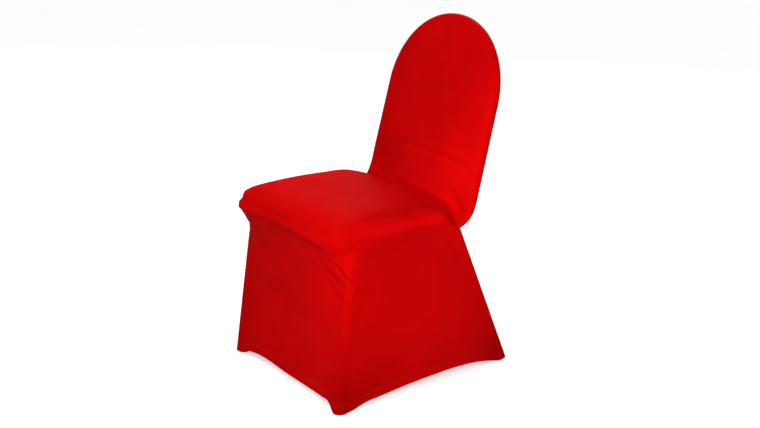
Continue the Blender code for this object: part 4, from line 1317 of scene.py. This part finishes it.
@dataclass
class FootPocket:
    """Doubled cup of knit that carries one foot of the chair."""

    end: str
    leg: Leg
    hand: Hand
    finish: StretchKnit = field(default_factory=lambda: StretchKnit(
        name="doubled_warp_knit", taut_and_lit="#B40608", slack_and_shade="#8C0406", roughness=0.68, sheen=0.05))
    wall: float = 0.0016
    height: float = 0.026
    stretch: float = 1.25
    set_in: float = 0.009
    steps: int = 64
    # Radius and height: a flat foot and a flange below the hem, then a sleeve inside it
    profile: tuple = (
        (0.0120, 0.0000), (0.0140, 0.0001), (0.0156, 0.0005), (0.0166, 0.0011),
        (0.0173, 0.0018), (0.0176, 0.0026), (0.0176, 0.0034), (0.0174, 0.0041),
        (0.0168, 0.0043), (0.0150, 0.0044), (0.0140, 0.0045), (0.0136, 0.0050),
        (0.0136, 0.0100), (0.0136, 0.0180), (0.0136, 0.0258), (0.0134, 0.0260),
    )

    def build(self) -> bpy.types.Object:
        """Turn the cup and set it under its leg."""
        cup = bmesh.new()
        bore = self.profile[-2][0] - self.wall
        inside = [(bore, self.height), (bore, self.wall), (0.0, self.wall)]
        section = [(0.0, 0.0), *self.profile, *inside]
        verts = [cup.verts.new((radius, 0, z)) for radius, z in section]
        edges = [cup.edges.new(pair) for pair in zip(verts, verts[1:])]
        turn = {"cent": (0, 0, 0), "axis": (0, 0, 1), "angle": math.tau, "steps": self.steps}
        bmesh.ops.spin(cup, geom=verts + edges, use_merge=True, **turn)
        bmesh.ops.remove_doubles(cup, verts=cup.verts, dist=WELD)
        knit = cup.loops.layers.uv.new("knit")
        widest = max(radius for radius, _ in self.profile)
        for face in cup.faces:
            face.smooth = True
            for loop in face.loops:
                angle = math.atan2(loop.vert.co.y, loop.vert.co.x)
                loop[knit].uv = (angle * widest, loop.vert.co.z)
        for vertex in cup.verts:
            x, y = self.leg.centre(vertex.co.z)
            vertex.co.x += self.hand.value * x
            middle = y - self.set_in * self.leg.facing - DEPTH_CENTRE
            vertex.co.y = vertex.co.y * self.stretch + middle
        bmesh.ops.recalc_face_normals(cup, faces=cup.faces)
        node = f"{self.end}_{self.hand.name.lower()}_pocket"
        piece = finished(cup, f"{node}_cup", self.finish.material(node))
        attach(piece, "root")
        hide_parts(node)
        LOG.info("%s: %d faces", piece.name, len(piece.data.polygons))
        return piece


@dataclass
class Studio:
    """Pale floor, soft lights and a camera at the photograph's angle."""

    # Angles are in degrees
    azimuth: float = 52.944
    elevation: float = 17.852
    distance: float = 3.0
    target: tuple = (0.077, -0.0348, 0.439)
    focal_pixels: float = 1137.308
    image_width: int = 760
    sensor: float = 36.0
    floor_size: float = 300.0
    wall_light: float = 0.40
    ceiling_light: float = 0.62
    # Name, azimuth, elevation, distance and size in metres, and power in watts
    lights: tuple = (
        ("key_softbox", 54.0, 18.0, 1.9, 0.8, 24.0),
        ("high_softbox", -30.0, 44.0, 2.4, 1.2, 14.0),
        ("rear_softbox", 215.0, 40.0, 3.5, 1.8, 56.0),
    )

    def direction(self, azimuth: float, elevation: float) -> Vector:
        """Direction from the cover to a place around it; azimuth 0 is its front."""
        azimuth, elevation = math.radians(azimuth), math.radians(elevation)
        level = math.cos(elevation)
        return Vector((math.sin(azimuth) * level, -math.cos(azimuth) * level, math.sin(elevation)))

    def build(self) -> None:
        """Put up the floor, the lights, the surrounding light and the camera."""
        self.lay_floor()
        for light in self.lights:
            self.hang_light(*light)
        self.light_surround()
        self.place_camera()

    def lay_floor(self) -> None:
        """Lay the paper floor."""
        sheet = bmesh.new()
        bmesh.ops.create_grid(sheet, x_segments=1, y_segments=1, size=self.floor_size / 2)
        floor = finished(sheet, "studio_floor", MattPaper().material())
        floor.visible_diffuse = False
        floor.visible_glossy = False

    def hang_light(self, name: str, azimuth: float, elevation: float,
                   distance: float, size: float, power: float) -> None:
        """Hang one softbox so that it faces the cover."""
        data = bpy.data.lights.new(name, "AREA")
        data.shape = "SQUARE"
        data.size = size
        data.energy = power
        light = bpy.data.objects.new(name, data)
        away = self.direction(azimuth, elevation)
        light.location = Vector(self.target) + away * distance
        light.rotation_euler = away.to_track_quat("Z", "Y").to_euler()
        bpy.context.collection.objects.link(light)

    def light_surround(self) -> None:
        """Light the room from a bright ceiling that falls off towards dimmer walls."""
        world = bpy.data.worlds.new("studio_surround")
        world.use_nodes = True
        tree = world.node_tree
        place = add_node(tree, "ShaderNodeTexCoord", {}, {})
        height = add_node(tree, "ShaderNodeSeparateXYZ", {}, {"Vector": place.outputs["Generated"]})
        strength = add_node(tree, "ShaderNodeMapRange",
                            {"From Min": 0.0, "From Max": 1.0, "To Min": self.wall_light,
                             "To Max": self.ceiling_light},
                            {"Value": height.outputs["Z"]})
        tree.links.new(strength.outputs["Result"], tree.nodes["Background"].inputs["Strength"])
        tree.nodes["Background"].inputs["Color"].default_value = linear("#FFFFFF")
        bpy.context.scene.world = world
        bpy.context.scene.view_settings.view_transform = "Standard"

    def place_camera(self) -> None:
        """Set the camera on the line from which the photograph was taken."""
        data = bpy.data.cameras.new("photo_camera")
        data.sensor_width = self.sensor
        data.lens = self.focal_pixels / self.image_width * self.sensor
        camera = bpy.data.objects.new("photo_camera", data)
        away = self.direction(self.azimuth, self.elevation)
        camera.location = Vector(self.target) + away * self.distance
        camera.rotation_euler = (-away).to_track_quat("-Z", "Y").to_euler()
        bpy.context.collection.objects.link(camera)
        bpy.context.scene.camera = camera


def main() -> None:
    """Dress the cover and put up the studio."""
    logging.basicConfig(level=logging.INFO, format="%(message)s")
    skin = StretchSkin()
    sewing = HemStitching(skin)
    for end, leg in (("front", FRONT_LEG), ("rear", REAR_LEG)):
        for hand in Hand:
            FootPocket(end, leg, hand).build()
    stitches = {panel: [sewing.build(panel, grid)] for panel, grid in skin.grids.items()}
    skin.dress()
    Studio().build()


if __name__ == "__main__":
    main()
